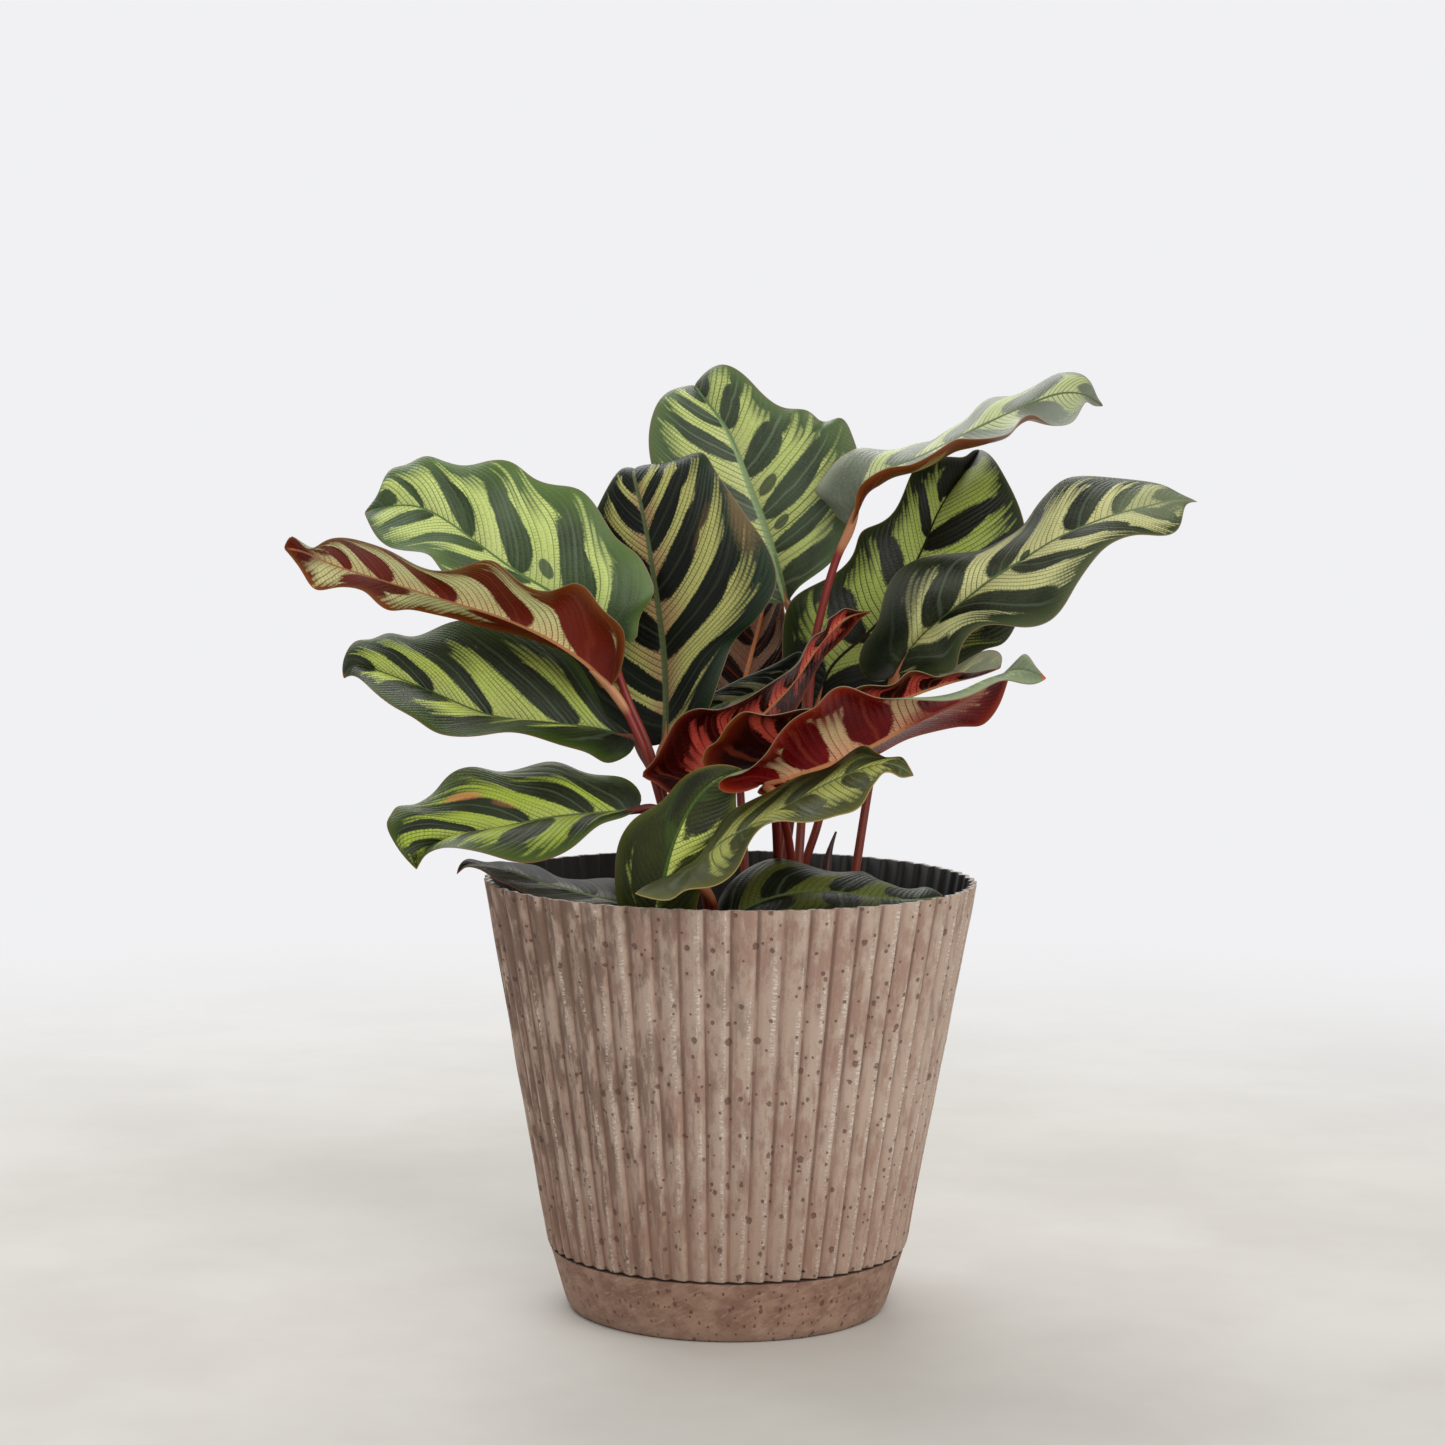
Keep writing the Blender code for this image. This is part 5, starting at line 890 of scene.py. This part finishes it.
def leaf_colour(web, marks, look, face):
    """The pattern's masks painted in one face's colours, with painted grey sheen on the dark ovals and
    painted backlight along the margin.
    """
    tone = web.noise(web.join(marks["across"] * 0.05, marks["along"] * 0.05, look["seed"]), detail=3.0)
    out, light, line, rim = (marks[key] for key in ("out", "light", "line", "rim"))
    # Broad noise turns the dark ovals towards their paler colour as painted grey sheen, and past fade they
    # pale towards the tip.
    pale = tone + marks["fine"] * 0.4 + marks["slot"] * 0.3
    pale = pale + web.rise(marks["vein"], look["fade"] - 0.15, look["fade"] + 0.15) * 0.6
    dark = web.colours(web.rise(pale, 0.35, 0.85), face["dark"], face["dark_tip_and_sheen"])
    band = web.colours(web.rise(out + tone * 0.25, 0.8, 1.15), face["band"], face["band_far"])
    field = web.colours(web.rise(out + tone * 0.3 - 0.15, 0.0, 0.36), face["light_in"], face["light"])
    return web.layers(
        web.colours(web.rise(out + tone * 0.3, 1.02, 0.66), band, dark),
        (marks["centre"] * marks["big"] * 0.4, face["vein"]),
        (light, field),
        (line * light * 0.85, face["line"]),
        (line * (1.0 - light) * 0.1, face["vein"]),
        (marks["midrib"], face["midrib"]),
        # Painted backlight: the edge's colour spreads inwards from the margin, as light shining through the
        # blade.
        (web.rise(rim, 2.6, 0.0) * face["backlight_glow"], face["edge"]),
        (web.rise(rim, 0.42, 0.2) * 0.8, face["edge"]),
        (web.rise(marks["share"], 0.972, 0.995), face["tip"]))


def stained(web, marks, colour, stains):
    """Small dark ovals, discoloured patches and pale patches of painted sheen: the vein they lie on, the
    place across, how far they reach each way, their softness, strength and colour."""
    for vein, place, long, wide, soft, strength, paint in stains:
        signed = marks["out"] * (marks["side"] * 2.0 - 1.0)
        far = ((marks["vein"] - vein) / long) ** 2.0 + ((signed - place) / wide) ** 2.0
        ragged = far + marks["fine"] * 1.2 * soft
        colour = web.colours(web.rise(ragged, 1.0 + soft * 0.2, 1.0 - soft) * strength, colour, paint)
    return colour


def face_material(name, look, side):
    """One face of a blade. The underside has the upper face's relief turned over."""
    web = Web(name + "_" + side)
    face = look[side]
    marks = leaf_marks(web, look)
    colour = stained(web, marks, leaf_colour(web, marks, look, face), face["stains"])
    rough = face["rough"] + marks["fine"] * 0.12
    relief = marks["dome"] * 0.3 - marks["tick"] * 0.12 + marks["fine"] * 0.25
    if side == "upper":
        rough = rough + marks["light"] * 0.05
    else:
        relief = 1.0 - relief
    colour = web.deepen(colour, LEAF_GAMMA, LEAF_GAIN)
    return web.finish(colour, rough, relief, LEAF_RELIEF, face["shine"])


def sweep(path, radii, sides):
    """Rings of points round a path, and a frame that doesn't twist along it."""
    tangent = unit(np.gradient(path, axis=0))
    normal = np.cross(tangent[0], (0.0, 1.0, 0.0))
    normal /= np.linalg.norm(normal)
    turns = TURN * np.arange(sides) / sides
    rings = []
    for place, forward, radius in zip(path, tangent, radii):
        normal = normal - forward * normal.dot(forward)
        normal /= np.linalg.norm(normal)
        other = np.cross(forward, normal)
        circle = np.cos(turns)[:, None] * normal + np.sin(turns)[:, None] * other
        rings.append(place + circle * np.asarray(radius).reshape(-1, 1))
    return np.array(rings)


def build_stalk(name, leaf, look, surface, up):
    """A stalk from under the midrib, over its thick joint, down into the soil."""
    middle = surface[:, BLADE_COLUMNS]
    below = up[:, BLADE_COLUMNS]
    start = [middle[STALK_TOP_ROW] - below[STALK_TOP_ROW] * 0.7, middle[0] - below[0] * 0.25]
    points = np.concatenate((start, seen_at(leaf["stalk"])))
    length = np.linalg.norm(np.diff(points, axis=0), axis=1).sum()
    count = int(length / STALK_STEP)
    path = smooth_curve(points, np.linspace(0.0, 1.0, count))
    down = np.linspace(0.0, length, count)
    joint = np.exp(-((down - JOINT_PLACE) / JOINT_REACH) ** 2)
    radii = STALK_RADIUS * (0.55 + 0.45 * np.minimum(1.0, down / 7.0) + 0.2 * joint)
    radii += 0.45 * (down / length) ** 3
    rings = sweep(path, radii, STALK_SIDES)
    item = make_mesh(name, rings.reshape(-1, 3), tube_faces(count, STALK_SIDES),
                     [stalk_material(name, look)])
    turn = np.arange(STALK_SIDES)[None, :] / STALK_SIDES
    write_attribute(item, "place", (down / length)[:, None], turn, down[:, None])
    return item


def stalk_material(name, look):
    web = Web(name)
    share, turn, down = web.attribute("place")
    circle = web.join(web.math("SINE", turn * 2 * math.pi), web.math("COSINE", turn * 2 * math.pi),
                      down * 0.02)
    streak = web.noise(circle, scale=2.5, detail=4.0)
    colour = web.layers(
        web.colours(web.rise(share + streak * 0.4, 0.35, 1.1), *look["stalk"]),
        (web.rise(down, JOINT_COLOUR_END, JOINT_COLOUR_FADE) * 0.85, look["joint"]),
        (web.rise(streak, 0.45, 0.75) * 0.3, (70, 20, 18)))
    return web.finish(colour, 0.42 + streak * 0.1, streak, depth=0.1)


def waves(angle, height, seed, tall, count=6, low=1, high=9):
    """Smooth seeded unevenness over a round wall, about -1 to 1."""
    random = np.random.default_rng(seed)
    total = np.zeros(np.broadcast(angle, height).shape)
    for _ in range(count):
        turns = int(random.integers(low, high))
        rate = float(random.uniform(-tall, tall))
        phase = float(random.uniform(0.0, TURN))
        total = total + np.sin(turns * angle + rate * height + phase)
    return total / math.sqrt(count)


def outer_radius(height):
    """The pot's radius over its ribs."""
    share = (height - SEAM_HEIGHT) / (RIM_HEIGHT - SEAM_HEIGHT)
    return SEAM_RADIUS + (RIM_RADIUS - SEAM_RADIUS) * share


def rib_share(angle):
    """0 in a groove and 1 on a crest: each rib rises slowly and drops off at once."""
    x = np.mod(angle / TURN * RIB_COUNT, 1.0)
    slow = 0.5 - 0.5 * np.cos(math.pi * np.minimum(x / RIB_CREST, 1.0))
    drop = 0.5 + 0.5 * np.cos(math.pi * np.clip((x - RIB_CREST) / (1.0 - RIB_CREST), 0.0, 1.0))
    return slow * drop


def build_pot():
    """The fluted pot as one closed shell: ribbed outside and inside, with a rounded rim."""
    columns = RIB_COUNT * RIB_POINTS
    angle = TURN * np.arange(columns) / columns
    rib = rib_share(angle)
    rows = []
    for height in np.linspace(POT_BOTTOM, RIM_HEIGHT - 0.5, WALL_ROWS):
        deep = RIB_DEPTH * (0.92 + 0.12 * waves(angle, height, 21, tall=0.05))
        edge = 0.5 * math.exp(-(height - POT_BOTTOM) / 0.8)
        worn = 0.12 * waves(angle, height, 5, tall=0.3, count=8, low=20, high=70)
        radius = outer_radius(height) - deep * (1.0 - rib) + worn * 0.8 - edge - 0.15
        rows.append((radius, height))
    top = outer_radius(RIM_HEIGHT) - RIB_DEPTH * (1.0 - rib)
    for inward, drop in ((0.2, 0.1), (0.35, 0.0), (WALL - 0.5, 0.0), (WALL - 0.2, 0.15)):
        rows.append((top - inward, RIM_HEIGHT - drop))
    floor = POT_BOTTOM + POT_FLOOR
    for height in np.linspace(RIM_HEIGHT - 0.5, floor, INSIDE_ROWS):
        fade = min(1.0, (height - floor) / 3.0)
        rows.append((outer_radius(height) - WALL - RIB_DEPTH * (1.0 - rib) * fade, height))
    for height in (floor, POT_BOTTOM):
        rows.append((np.full(columns, FLOOR_HOLE), height))
    points = [np.stack((r * np.cos(angle), r * np.sin(angle), np.full(columns, z)), axis=-1)
              for r, z in rows]
    count = len(rows)
    index = np.arange(count * columns).reshape(count, columns)
    faces = ring_faces(index, np.roll(index, -1, axis=0))
    slots = np.zeros(len(faces))
    slots[WALL_ROWS * columns:] = 2
    slots[(WALL_ROWS + 3) * columns:] = 1
    materials = [stone_material(), shaded_inside_material(), rim_material()]
    item = make_mesh("fluted_pot", np.concatenate(points), faces, materials, slots, crease=POT_CREASE)
    flatten_pot(item, count, columns)
    write_attribute(item, "ribs", np.tile(rib, count), 0.0, 0.0)
    return item


def flatten_pot(item, count, columns):
    """The wall's front and back halves lie one above the other, each with its ribbed outside in
    the lower four fifths, below the rim, the inside and the bottom."""
    half = columns // 2
    high = np.interp(np.arange(count + 1), (0, WALL_ROWS, WALL_ROWS + 3, count), (0.0, 0.8, 0.84, 1.0))
    i, j = np.divmod(np.arange(count * columns), columns)
    low_u, low_v = 0.01 + 0.98 * (j % half) / half, 0.01 + 0.5 * (j // half)
    step = 0.98 / half
    near, far = low_v + 0.48 * high[i], low_v + 0.48 * high[i + 1]
    places = np.stack((low_u, near, low_u + step, near, low_u + step, far, low_u, far), axis=-1)
    lay_flat(item, places.reshape(-1, 2), np.arange(4 * count * columns))


def build_foot():
    """The smooth foot: a tapering dish with softly rounded edges, open at the top."""
    slope = (SEAM_RADIUS - FOOT_RADIUS) / SEAM_HEIGHT
    lip = SEAM_RADIUS - 0.8
    profile = [(FOOT_RADIUS - 4.0, 0.0), (FOOT_RADIUS - 1.6, 0.05), (FOOT_RADIUS - 0.6, 0.4),
               (FOOT_RADIUS - 0.1, 1.1), (FOOT_RADIUS + slope * 2.2, 2.4)]
    for height in np.linspace(4.0, SEAM_HEIGHT - 1.0, 12):
        profile.append((FOOT_RADIUS + (lip - FOOT_RADIUS) * height / SEAM_HEIGHT + 0.1, height))
    profile += [(lip - 0.1, SEAM_HEIGHT - 0.35), (lip - 0.5, SEAM_HEIGHT), (lip - 1.8, SEAM_HEIGHT),
                (lip - 2.2, SEAM_HEIGHT - 0.5), (FOOT_RADIUS - 1.0, 5.0),
                (FOOT_RADIUS - 5.0, FOOT_FLOOR)]
    angle = TURN * np.arange(FOOT_STEPS) / FOOT_STEPS
    points = [(0.0, 0.0, 0.0)]
    for radius, height in profile:
        uneven = 0.08 * waves(angle, height, 31, tall=0.2) if radius > FOOT_RADIUS - 1 else 0.0
        wide = radius + uneven
        points += list(zip(wide * np.cos(angle), wide * np.sin(angle), np.full(FOOT_STEPS, height)))
    points.append((0.0, 0.0, FOOT_FLOOR))
    faces = []
    last = 1 + (len(profile) - 1) * FOOT_STEPS
    for j in range(FOOT_STEPS):
        k = (j + 1) % FOOT_STEPS
        faces.append((0, 1 + k, 1 + j))
        faces.append((last + j, last + k, len(points) - 1))
        for near in range(1, last, FOOT_STEPS):
            faces.append((near + j, near + k, near + FOOT_STEPS + k, near + FOOT_STEPS + j))
    return make_mesh("pot_foot_dish", points, faces, [foot_material()], crease=FOOT_CREASE)


def pot_coordinates(web):
    """A point's place on the circle that the wall's patterns are laid on, with its height, and its
    height alone."""
    x, y, z = web.parts(web.place())
    radius = web.math("SQRT", x * x + y * y)
    return web.join(x / radius * WRAP, y / radius * WRAP, z * PER_METRE), z * PER_METRE


def stretched(web, ring, across, up):
    """The wall's coordinates for a pattern with marks that wide and that tall."""
    x, y, z = web.parts(ring)
    return web.join(x / across, y / across, z / up)


def pitted(web, ring, colour, amount, paint):
    """Dark pits of three sizes, and where they are."""
    x, y, z = web.parts(web.place())
    round_it, up = web.math("ARCTAN2", x, -1.0 * y) * WRAP, z * PER_METRE
    ragged = web.noise(ring, scale=1.6, detail=3.0) - 0.5
    bare = web.noise(stretched(web, ring, 24.0, 24.0), detail=2.0)
    total = None
    for step, odds, least, added in PITS:
        near, random = web.cells(round_it / step, up / (step * 1.15))
        size, luck, _ = web.parts(random)
        edge = least + size * added + ragged * 0.12
        pit = web.rise(near, edge + 0.03, edge - 0.03)
        pit = pit * web.math("LESS_THAN", luck, odds * amount * (0.3 + bare * 1.3))
        total = pit if total is None else web.math("MAXIMUM", total, pit)
    return web.colours(total * 0.75, colour, paint), total


def stone_material():
    """Worn stone-look plastic: a greige coat rubbed through to pinkish brown, painted shade in the grooves
    with a dark line along each, grey-brown staining down the ribs, painted shade over the left side and
    near the top, darker and redder towards the bottom, pits and white rub marks along some crests."""
    web = Web("pot_stone")
    ring, height = pot_coordinates(web)
    x = web.parts(ring)[0]
    crest, _, _ = web.attribute("ribs")
    wide = web.noise(stretched(web, ring, 20.0, 34.0), detail=3.0, roughness=0.6)
    streak = web.noise(stretched(web, ring, 2.4, 26.0), detail=4.0, roughness=0.6)
    mottle = web.noise(stretched(web, ring, 3.2, 6.5), detail=7.0, roughness=0.7)
    smear = web.noise(stretched(web, ring, 4.5, 17.0), detail=6.0, roughness=0.66)
    comb = web.noise(stretched(web, ring, 1.6, 0.6), detail=3.0)
    grain = web.noise(ring, scale=2.4, detail=4.0, roughness=0.7)
    coat = web.rise(mottle * 0.6 + streak * 0.35 + wide * 0.45 + crest * 0.05, 0.6, 0.78)
    # Painted shade: darkest along each groove's floor.
    groove = web.rise(crest, 0.14, 0.0) * web.rise(streak - wide * 0.5, 0.05, 0.35)
    # Painted shade on the left side and near the top of the wall, under the leaves.
    left = web.rise(x, 25.0, -60.0)
    high = web.rise(height, 60.0, 150.0) * 0.04
    stain = web.rise(smear + left * 0.08 + high + (0.5 - streak) * 0.24, 0.56, 0.66)
    shade = web.rise(smear * 0.6 + mottle * 0.4 + left * 0.08, 0.52, 0.66) * left
    rubbed = web.rise(crest, 0.82, 0.97) * web.rise(comb + grain * 0.2, 0.55, 0.7)
    rubbed = rubbed * web.rise(wide * 0.5 + streak * 0.7 - height * 0.0006 + x * 0.0006, 0.5, 0.6)
    colour = web.layers(
        web.colours(coat, (166, 135, 121), (190, 169, 154)),
        (web.rise(wide, 0.46, 0.66) * 0.5, (186, 161, 146)),
        # Painted shade in the grooves, then a dark painted-shade line along each groove.
        (web.rise(crest, 0.5, 0.05) * 0.35, (146, 116, 102)),
        (groove * 0.8, (106, 80, 68)),
        # Staining, heavier on the left and near the top as painted shade, then painted shade over the left
        # side.
        (stain * (0.28 + left * 0.42), (114, 95, 82)),
        (shade * 0.48, (132, 100, 85)),
        (rubbed * 0.8, (226, 214, 204)),
        (web.rise(grain, 0.58, 0.72) * 0.25, (212, 194, 180)),
        (web.rise(grain, 0.44, 0.3) * 0.25, (130, 104, 92)),
        (web.rise(height, 78.0, 26.0) * 0.38, (152, 117, 99)))
    colour, pit = pitted(web, ring, colour, 1.0, (104, 72, 62))
    # Painted shadow in the seam, along the wall's lower edge.
    colour = web.colours(web.rise(height, SEAM_HEIGHT + 0.75, SEAM_HEIGHT + 0.45) * 0.85, colour, SEAM_SHADOW)
    relief = coat * 0.3 + grain * 0.5 + rubbed * 0.2 - pit * 0.9
    return web.finish(colour, 0.7 + grain * 0.2, relief, depth=0.4, specular=0.35)


def rim_material():
    """The rim's bare upper edge, pale grey worn to brown."""
    web = Web("pot_rim")
    ring, _ = pot_coordinates(web)
    grain = web.noise(ring, scale=0.6, detail=5.0)
    colour = web.colours(web.rise(grain, 0.4, 0.6), (122, 104, 92), (190, 188, 182))
    return web.finish(colour, 0.55 + grain * 0.2, grain, depth=0.2)


def foot_material():
    """The same plastic, more even: a warm brown with fine slanting scratches and round pits."""
    web = Web("foot_stone")
    ring, height = pot_coordinates(web)
    x, y, z = web.parts(ring)
    slant = web.join(x / 7.0 + z / 9.0, y / 7.0, z / 1.3 - x / 3.0)
    brush = web.noise(slant, detail=5.0, roughness=0.65)
    mottle = web.noise(stretched(web, ring, 9.0, 5.0), detail=6.0, roughness=0.62)
    grain = web.noise(ring, scale=2.4, detail=4.0, roughness=0.7)
    colour = web.layers(
        web.colours(web.rise(mottle, 0.36, 0.64), (132, 99, 83), (160, 128, 110)),
        (web.rise(brush, 0.54, 0.68) * 0.45, (184, 160, 142)),
        (web.rise(brush, 0.42, 0.3) * 0.35, (110, 80, 66)),
        (web.rise(height, 8.0, 1.0) * 0.35, (164, 140, 122)),
        (web.rise(grain, 0.6, 0.74) * 0.25, (188, 166, 148)),
        (web.rise(grain, 0.42, 0.3) * 0.2, (104, 78, 66)))
    colour, pit = pitted(web, ring, colour, 1.3, (96, 58, 48))
    # Painted shadow in the seam, along the foot's upper lip.
    colour = web.colours(web.rise(height, SEAM_HEIGHT - 0.5, SEAM_HEIGHT - 0.1) * 0.85, colour, SEAM_SHADOW)
    relief = mottle * 0.2 + grain * 0.4 - pit * 0.8
    return web.finish(colour, 0.62 + grain * 0.2, relief, depth=0.3, specular=0.4)


def shaded_inside_material():
    """The pot's inner face: painted near black as the shade deep inside the pot, with faint vertical
    streaks.
    """
    web = Web("pot_inside_shade")
    ring, _ = pot_coordinates(web)
    streak = web.noise(stretched(web, ring, 2.0, 40.0), detail=3.0)
    grain = web.noise(ring, scale=3.0, detail=2.0)
    # Near-black colours: painted shade inside the pot.
    colour = web.colours(web.rise(streak, 0.35, 0.7), (18, 19, 20), (38, 39, 41))
    return web.finish(colour, 0.55 + grain * 0.15, streak, depth=0.2, specular=0.4)


def soil_relief(x, y):
    """The soil's surface: a low mound of crumbs."""
    radius = np.hypot(x, y)
    share = np.minimum(1.0, radius / SOIL_RADIUS)
    height = SOIL_LEVEL + SOIL_MOUND * (1.0 - share * share)
    random = np.random.default_rng(12)
    for size, tall in SOIL_CRUMBS:
        for _ in range(6):
            turn = float(random.uniform(0, TURN))
            phase = float(random.uniform(0, TURN))
            bent = x + 1.5 * np.sin(y / size * 1.7 + phase)
            height = height + tall * 0.5 * np.sin((bent * math.cos(turn) + y * math.sin(turn))
                                                  * 2 * math.pi / size + phase)
    return height


def soil_radius(height):
    """How far the soil reaches inside the pot's ribs."""
    return outer_radius(height) - WALL - RIB_DEPTH - SOIL_ROOM


def build_soil():
    """Crumbly peat, closed below, with chips of bark lying half in it."""
    edge = soil_radius(SOIL_LEVEL)
    radii = np.linspace(0.6, edge, SOIL_RINGS)
    angle = TURN * np.arange(SOIL_STEPS) / SOIL_STEPS
    x = radii[:, None] * np.cos(angle)
    y = radii[:, None] * np.sin(angle)
    points = np.stack((x, y, soil_relief(x, y)), axis=-1).reshape(-1, 3)
    foot = soil_radius(SOIL_LOW)
    skirt = np.stack((foot * np.cos(angle), foot * np.sin(angle), np.full(SOIL_STEPS, SOIL_LOW)), axis=-1)
    points = np.concatenate((points, skirt)).tolist()
    index = np.arange((SOIL_RINGS + 1) * SOIL_STEPS).reshape(-1, SOIL_STEPS)
    faces = ring_faces(index[:-1], index[1:])[:, [0, 3, 2, 1]].tolist()
    faces += [index[0], index[-1, ::-1]]
    random = np.random.default_rng(8)
    for _ in range(CHIP_COUNT):
        add_chip(points, faces, random, edge)
    return make_mesh("potting_soil", points, faces, [soil_material()])


def add_chip(points, faces, random, edge):
    """One flat chip of bark with ragged corners, lying at a slant."""
    radius = (edge - 4.0) * math.sqrt(random.uniform())
    turn = random.uniform(0, TURN)
    x, y = radius * math.cos(turn), radius * math.sin(turn)
    long, wide, thick = [random.uniform(*sizes) for sizes in CHIP_SIZES]
    spin, lean = random.uniform(0, TURN), random.uniform(-0.5, 0.5)
    matrix = Matrix.Rotation(spin, 3, "Z") @ Matrix.Rotation(lean, 3, "X")
    centre = Vector((x, y, float(soil_relief(x, y)) + 0.2))
    start = len(points)
    for up in (-1, 1):
        for sx, sy in ((-1, -1), (1, -1), (1, 1), (-1, 1)):
            jag = random.uniform(0.6, 1.0, 2)
            corner = Vector((sx * long * jag[0], sy * wide * jag[1], up * thick)) / 2
            points.append(tuple(centre + matrix @ corner))
    for ring in ((3, 2, 1, 0), (4, 5, 6, 7), (0, 1, 5, 4), (1, 2, 6, 5), (2, 3, 7, 6), (3, 0, 4, 7)):
        faces.append([start + i for i in ring])


def soil_material():
    web = Web("peat")
    place = web.place()
    crumb = web.noise(place, scale=700.0, detail=4.0, roughness=0.7)
    patch = web.noise(place, scale=120.0, detail=3.0)
    colour = web.layers(
        web.colours(web.rise(crumb, 0.35, 0.7), (34, 24, 18), (78, 58, 42)),
        (web.rise(patch, 0.5, 0.75) * 0.5, (96, 70, 50)))
    return web.finish(colour, 0.95, crumb, depth=0.5, specular=0.2)


def build_sprout():
    """The youngest leaf, rolled up: a spike with the rolled edge winding round it as a step."""
    shares = np.linspace(0.0, 1.0, SPROUT_ROWS)
    path = smooth_curve(seen_at(SPROUT), shares)
    radii = np.interp(shares, np.linspace(0, 1, len(SPROUT_RADII)), SPROUT_RADII)
    turn = np.arange(SPROUT_SIDES) / SPROUT_SIDES
    grown = np.clip((shares - 0.45) / 0.2, 0.0, 1.0)[:, None]
    step = 1.0 + ROLL_STEP * grown * (np.mod(turn[None, :] + shares[:, None] * 1.2, 1.0) - 0.5)
    rings = sweep(path, radii[:, None] * step, SPROUT_SIDES)
    item = make_mesh("rolled_sprout", rings.reshape(-1, 3), tube_faces(SPROUT_ROWS, SPROUT_SIDES),
                     [sprout_material()], crease=SPROUT_CREASE)
    write_attribute(item, "place", shares[:, None], turn[None, :], 0.0)
    return item


def sprout_material():
    web = Web("sprout")
    share, turn, _ = web.attribute("place")
    streak = web.noise(web.join(turn * 9.0, share * 3.0), detail=3.0)
    colour = web.layers(
        web.colours(web.rise(share, 0.45, 0.7), (112, 30, 22), (62, 30, 22)),
        (web.rise(streak, 0.45, 0.7) * 0.5, (78, 46, 30)))
    return web.finish(colour, 0.42, streak, depth=0.15)


def build_floor():
    """A plain pale floor, wide enough to reach the horizon, that fades out away from the pot."""
    half = FLOOR_HALF
    corners = [(-half, -half, 0), (half, -half, 0), (half, half, 0), (-half, half, 0)]
    web = Web("floor")
    place = web.place()
    x, y, _ = web.parts(place)
    away = web.math("SQRT", x * x + y * y)
    cloud = web.noise(place, scale=7.0, detail=5.0, roughness=0.6)
    web.feed(web.shader.inputs["Base Color"],
             web.colours(web.rise(cloud, 0.3, 0.7), (196, 193, 188), (206, 204, 199)))
    web.shader.inputs["Roughness"].default_value = 0.7
    web.shader.inputs["Specular IOR Level"].default_value = 0.2
    solid = Wire(web, web.shader.outputs[0])
    clear = web.node("BsdfTransparent", {})
    faded = web.node("MixShader", {0: web.rise(away, 0.2, 1.0), 1: solid, 2: clear})
    web.feed(web.tree.nodes["Material Output"].inputs["Surface"], faded)
    return make_mesh("floor", corners, [(0, 1, 2, 3)], [web.material])


def light_scene():
    """An even room with a pale background, and soft boxes that face the plant."""
    world = bpy.data.worlds.new("studio")
    bpy.context.scene.world = world
    world.use_nodes = True
    tree = world.node_tree
    light = tree.nodes["Background"]
    light.inputs["Color"].default_value = ROOM_LIGHT
    light.inputs["Strength"].default_value = ROOM_STRENGTH
    seen = tree.nodes.new("ShaderNodeBackground")
    seen.inputs["Color"].default_value = srgb(*BACKGROUND)
    path = tree.nodes.new("ShaderNodeLightPath")
    mix = tree.nodes.new("ShaderNodeMixShader")
    tree.links.new(path.outputs["Is Camera Ray"], mix.inputs[0])
    tree.links.new(light.outputs[0], mix.inputs[1])
    tree.links.new(seen.outputs[0], mix.inputs[2])
    tree.links.new(mix.outputs[0], tree.nodes["World Output"].inputs["Surface"])
    for name, (place, size, watts, colour) in LAMPS.items():
        lamp = bpy.data.lights.new(name, "AREA")
        lamp.shape = "RECTANGLE"
        lamp.size, lamp.size_y = size
        lamp.energy = watts
        lamp.color = colour
        item = bpy.data.objects.new(name, lamp)
        item.location = place
        item.rotation_euler = (Vector(LIT_POINT) - Vector(place)).to_track_quat("-Z", "Y").to_euler()
        bpy.context.scene.collection.objects.link(item)


def place_camera():
    lens = bpy.data.cameras.new("camera")
    lens.lens = CAMERA_LENS
    lens.sensor_width = 36.0
    lens.clip_end = 100.0
    item = bpy.data.objects.new("camera", lens)
    tilt = Matrix.Rotation(math.radians(90.0 - CAMERA_DOWN), 4, "X")
    roll = Matrix.Rotation(math.radians(CAMERA_ROLL), 4, "Z")
    item.matrix_world = Matrix.Translation(CAMERA_PLACE) @ tilt @ roll
    bpy.context.scene.collection.objects.link(item)
    bpy.context.scene.camera = item
    bpy.context.scene.view_settings.view_transform = "Standard"


def declare(piece, slot, *nodes):
    """Hangs a piece under the root and hides the solids that it stands for. Its slot is not used."""
    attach(piece, "root")
    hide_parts(*nodes)


place_camera()
light_scene()
build_floor()
declare(build_pot(), "pot", "pot_body")
declare(build_foot(), "pot_foot", "pot_foot")
declare(build_soil(), "soil", "soil")
declare(build_sprout(), "sprout", "sprout")
for short_name, leaf in LEAVES.items():
    leaf_name = "leaf_" + short_name
    blade, surface, up = build_blade(leaf_name, leaf, LOOKS[short_name])
    declare(blade, "blade", leaf_name + "_blade")
    stalk = build_stalk(leaf_name + "_petiole", leaf, LOOKS[short_name], surface, up)
    declare(stalk, "stalk", leaf_name + "_stalk")
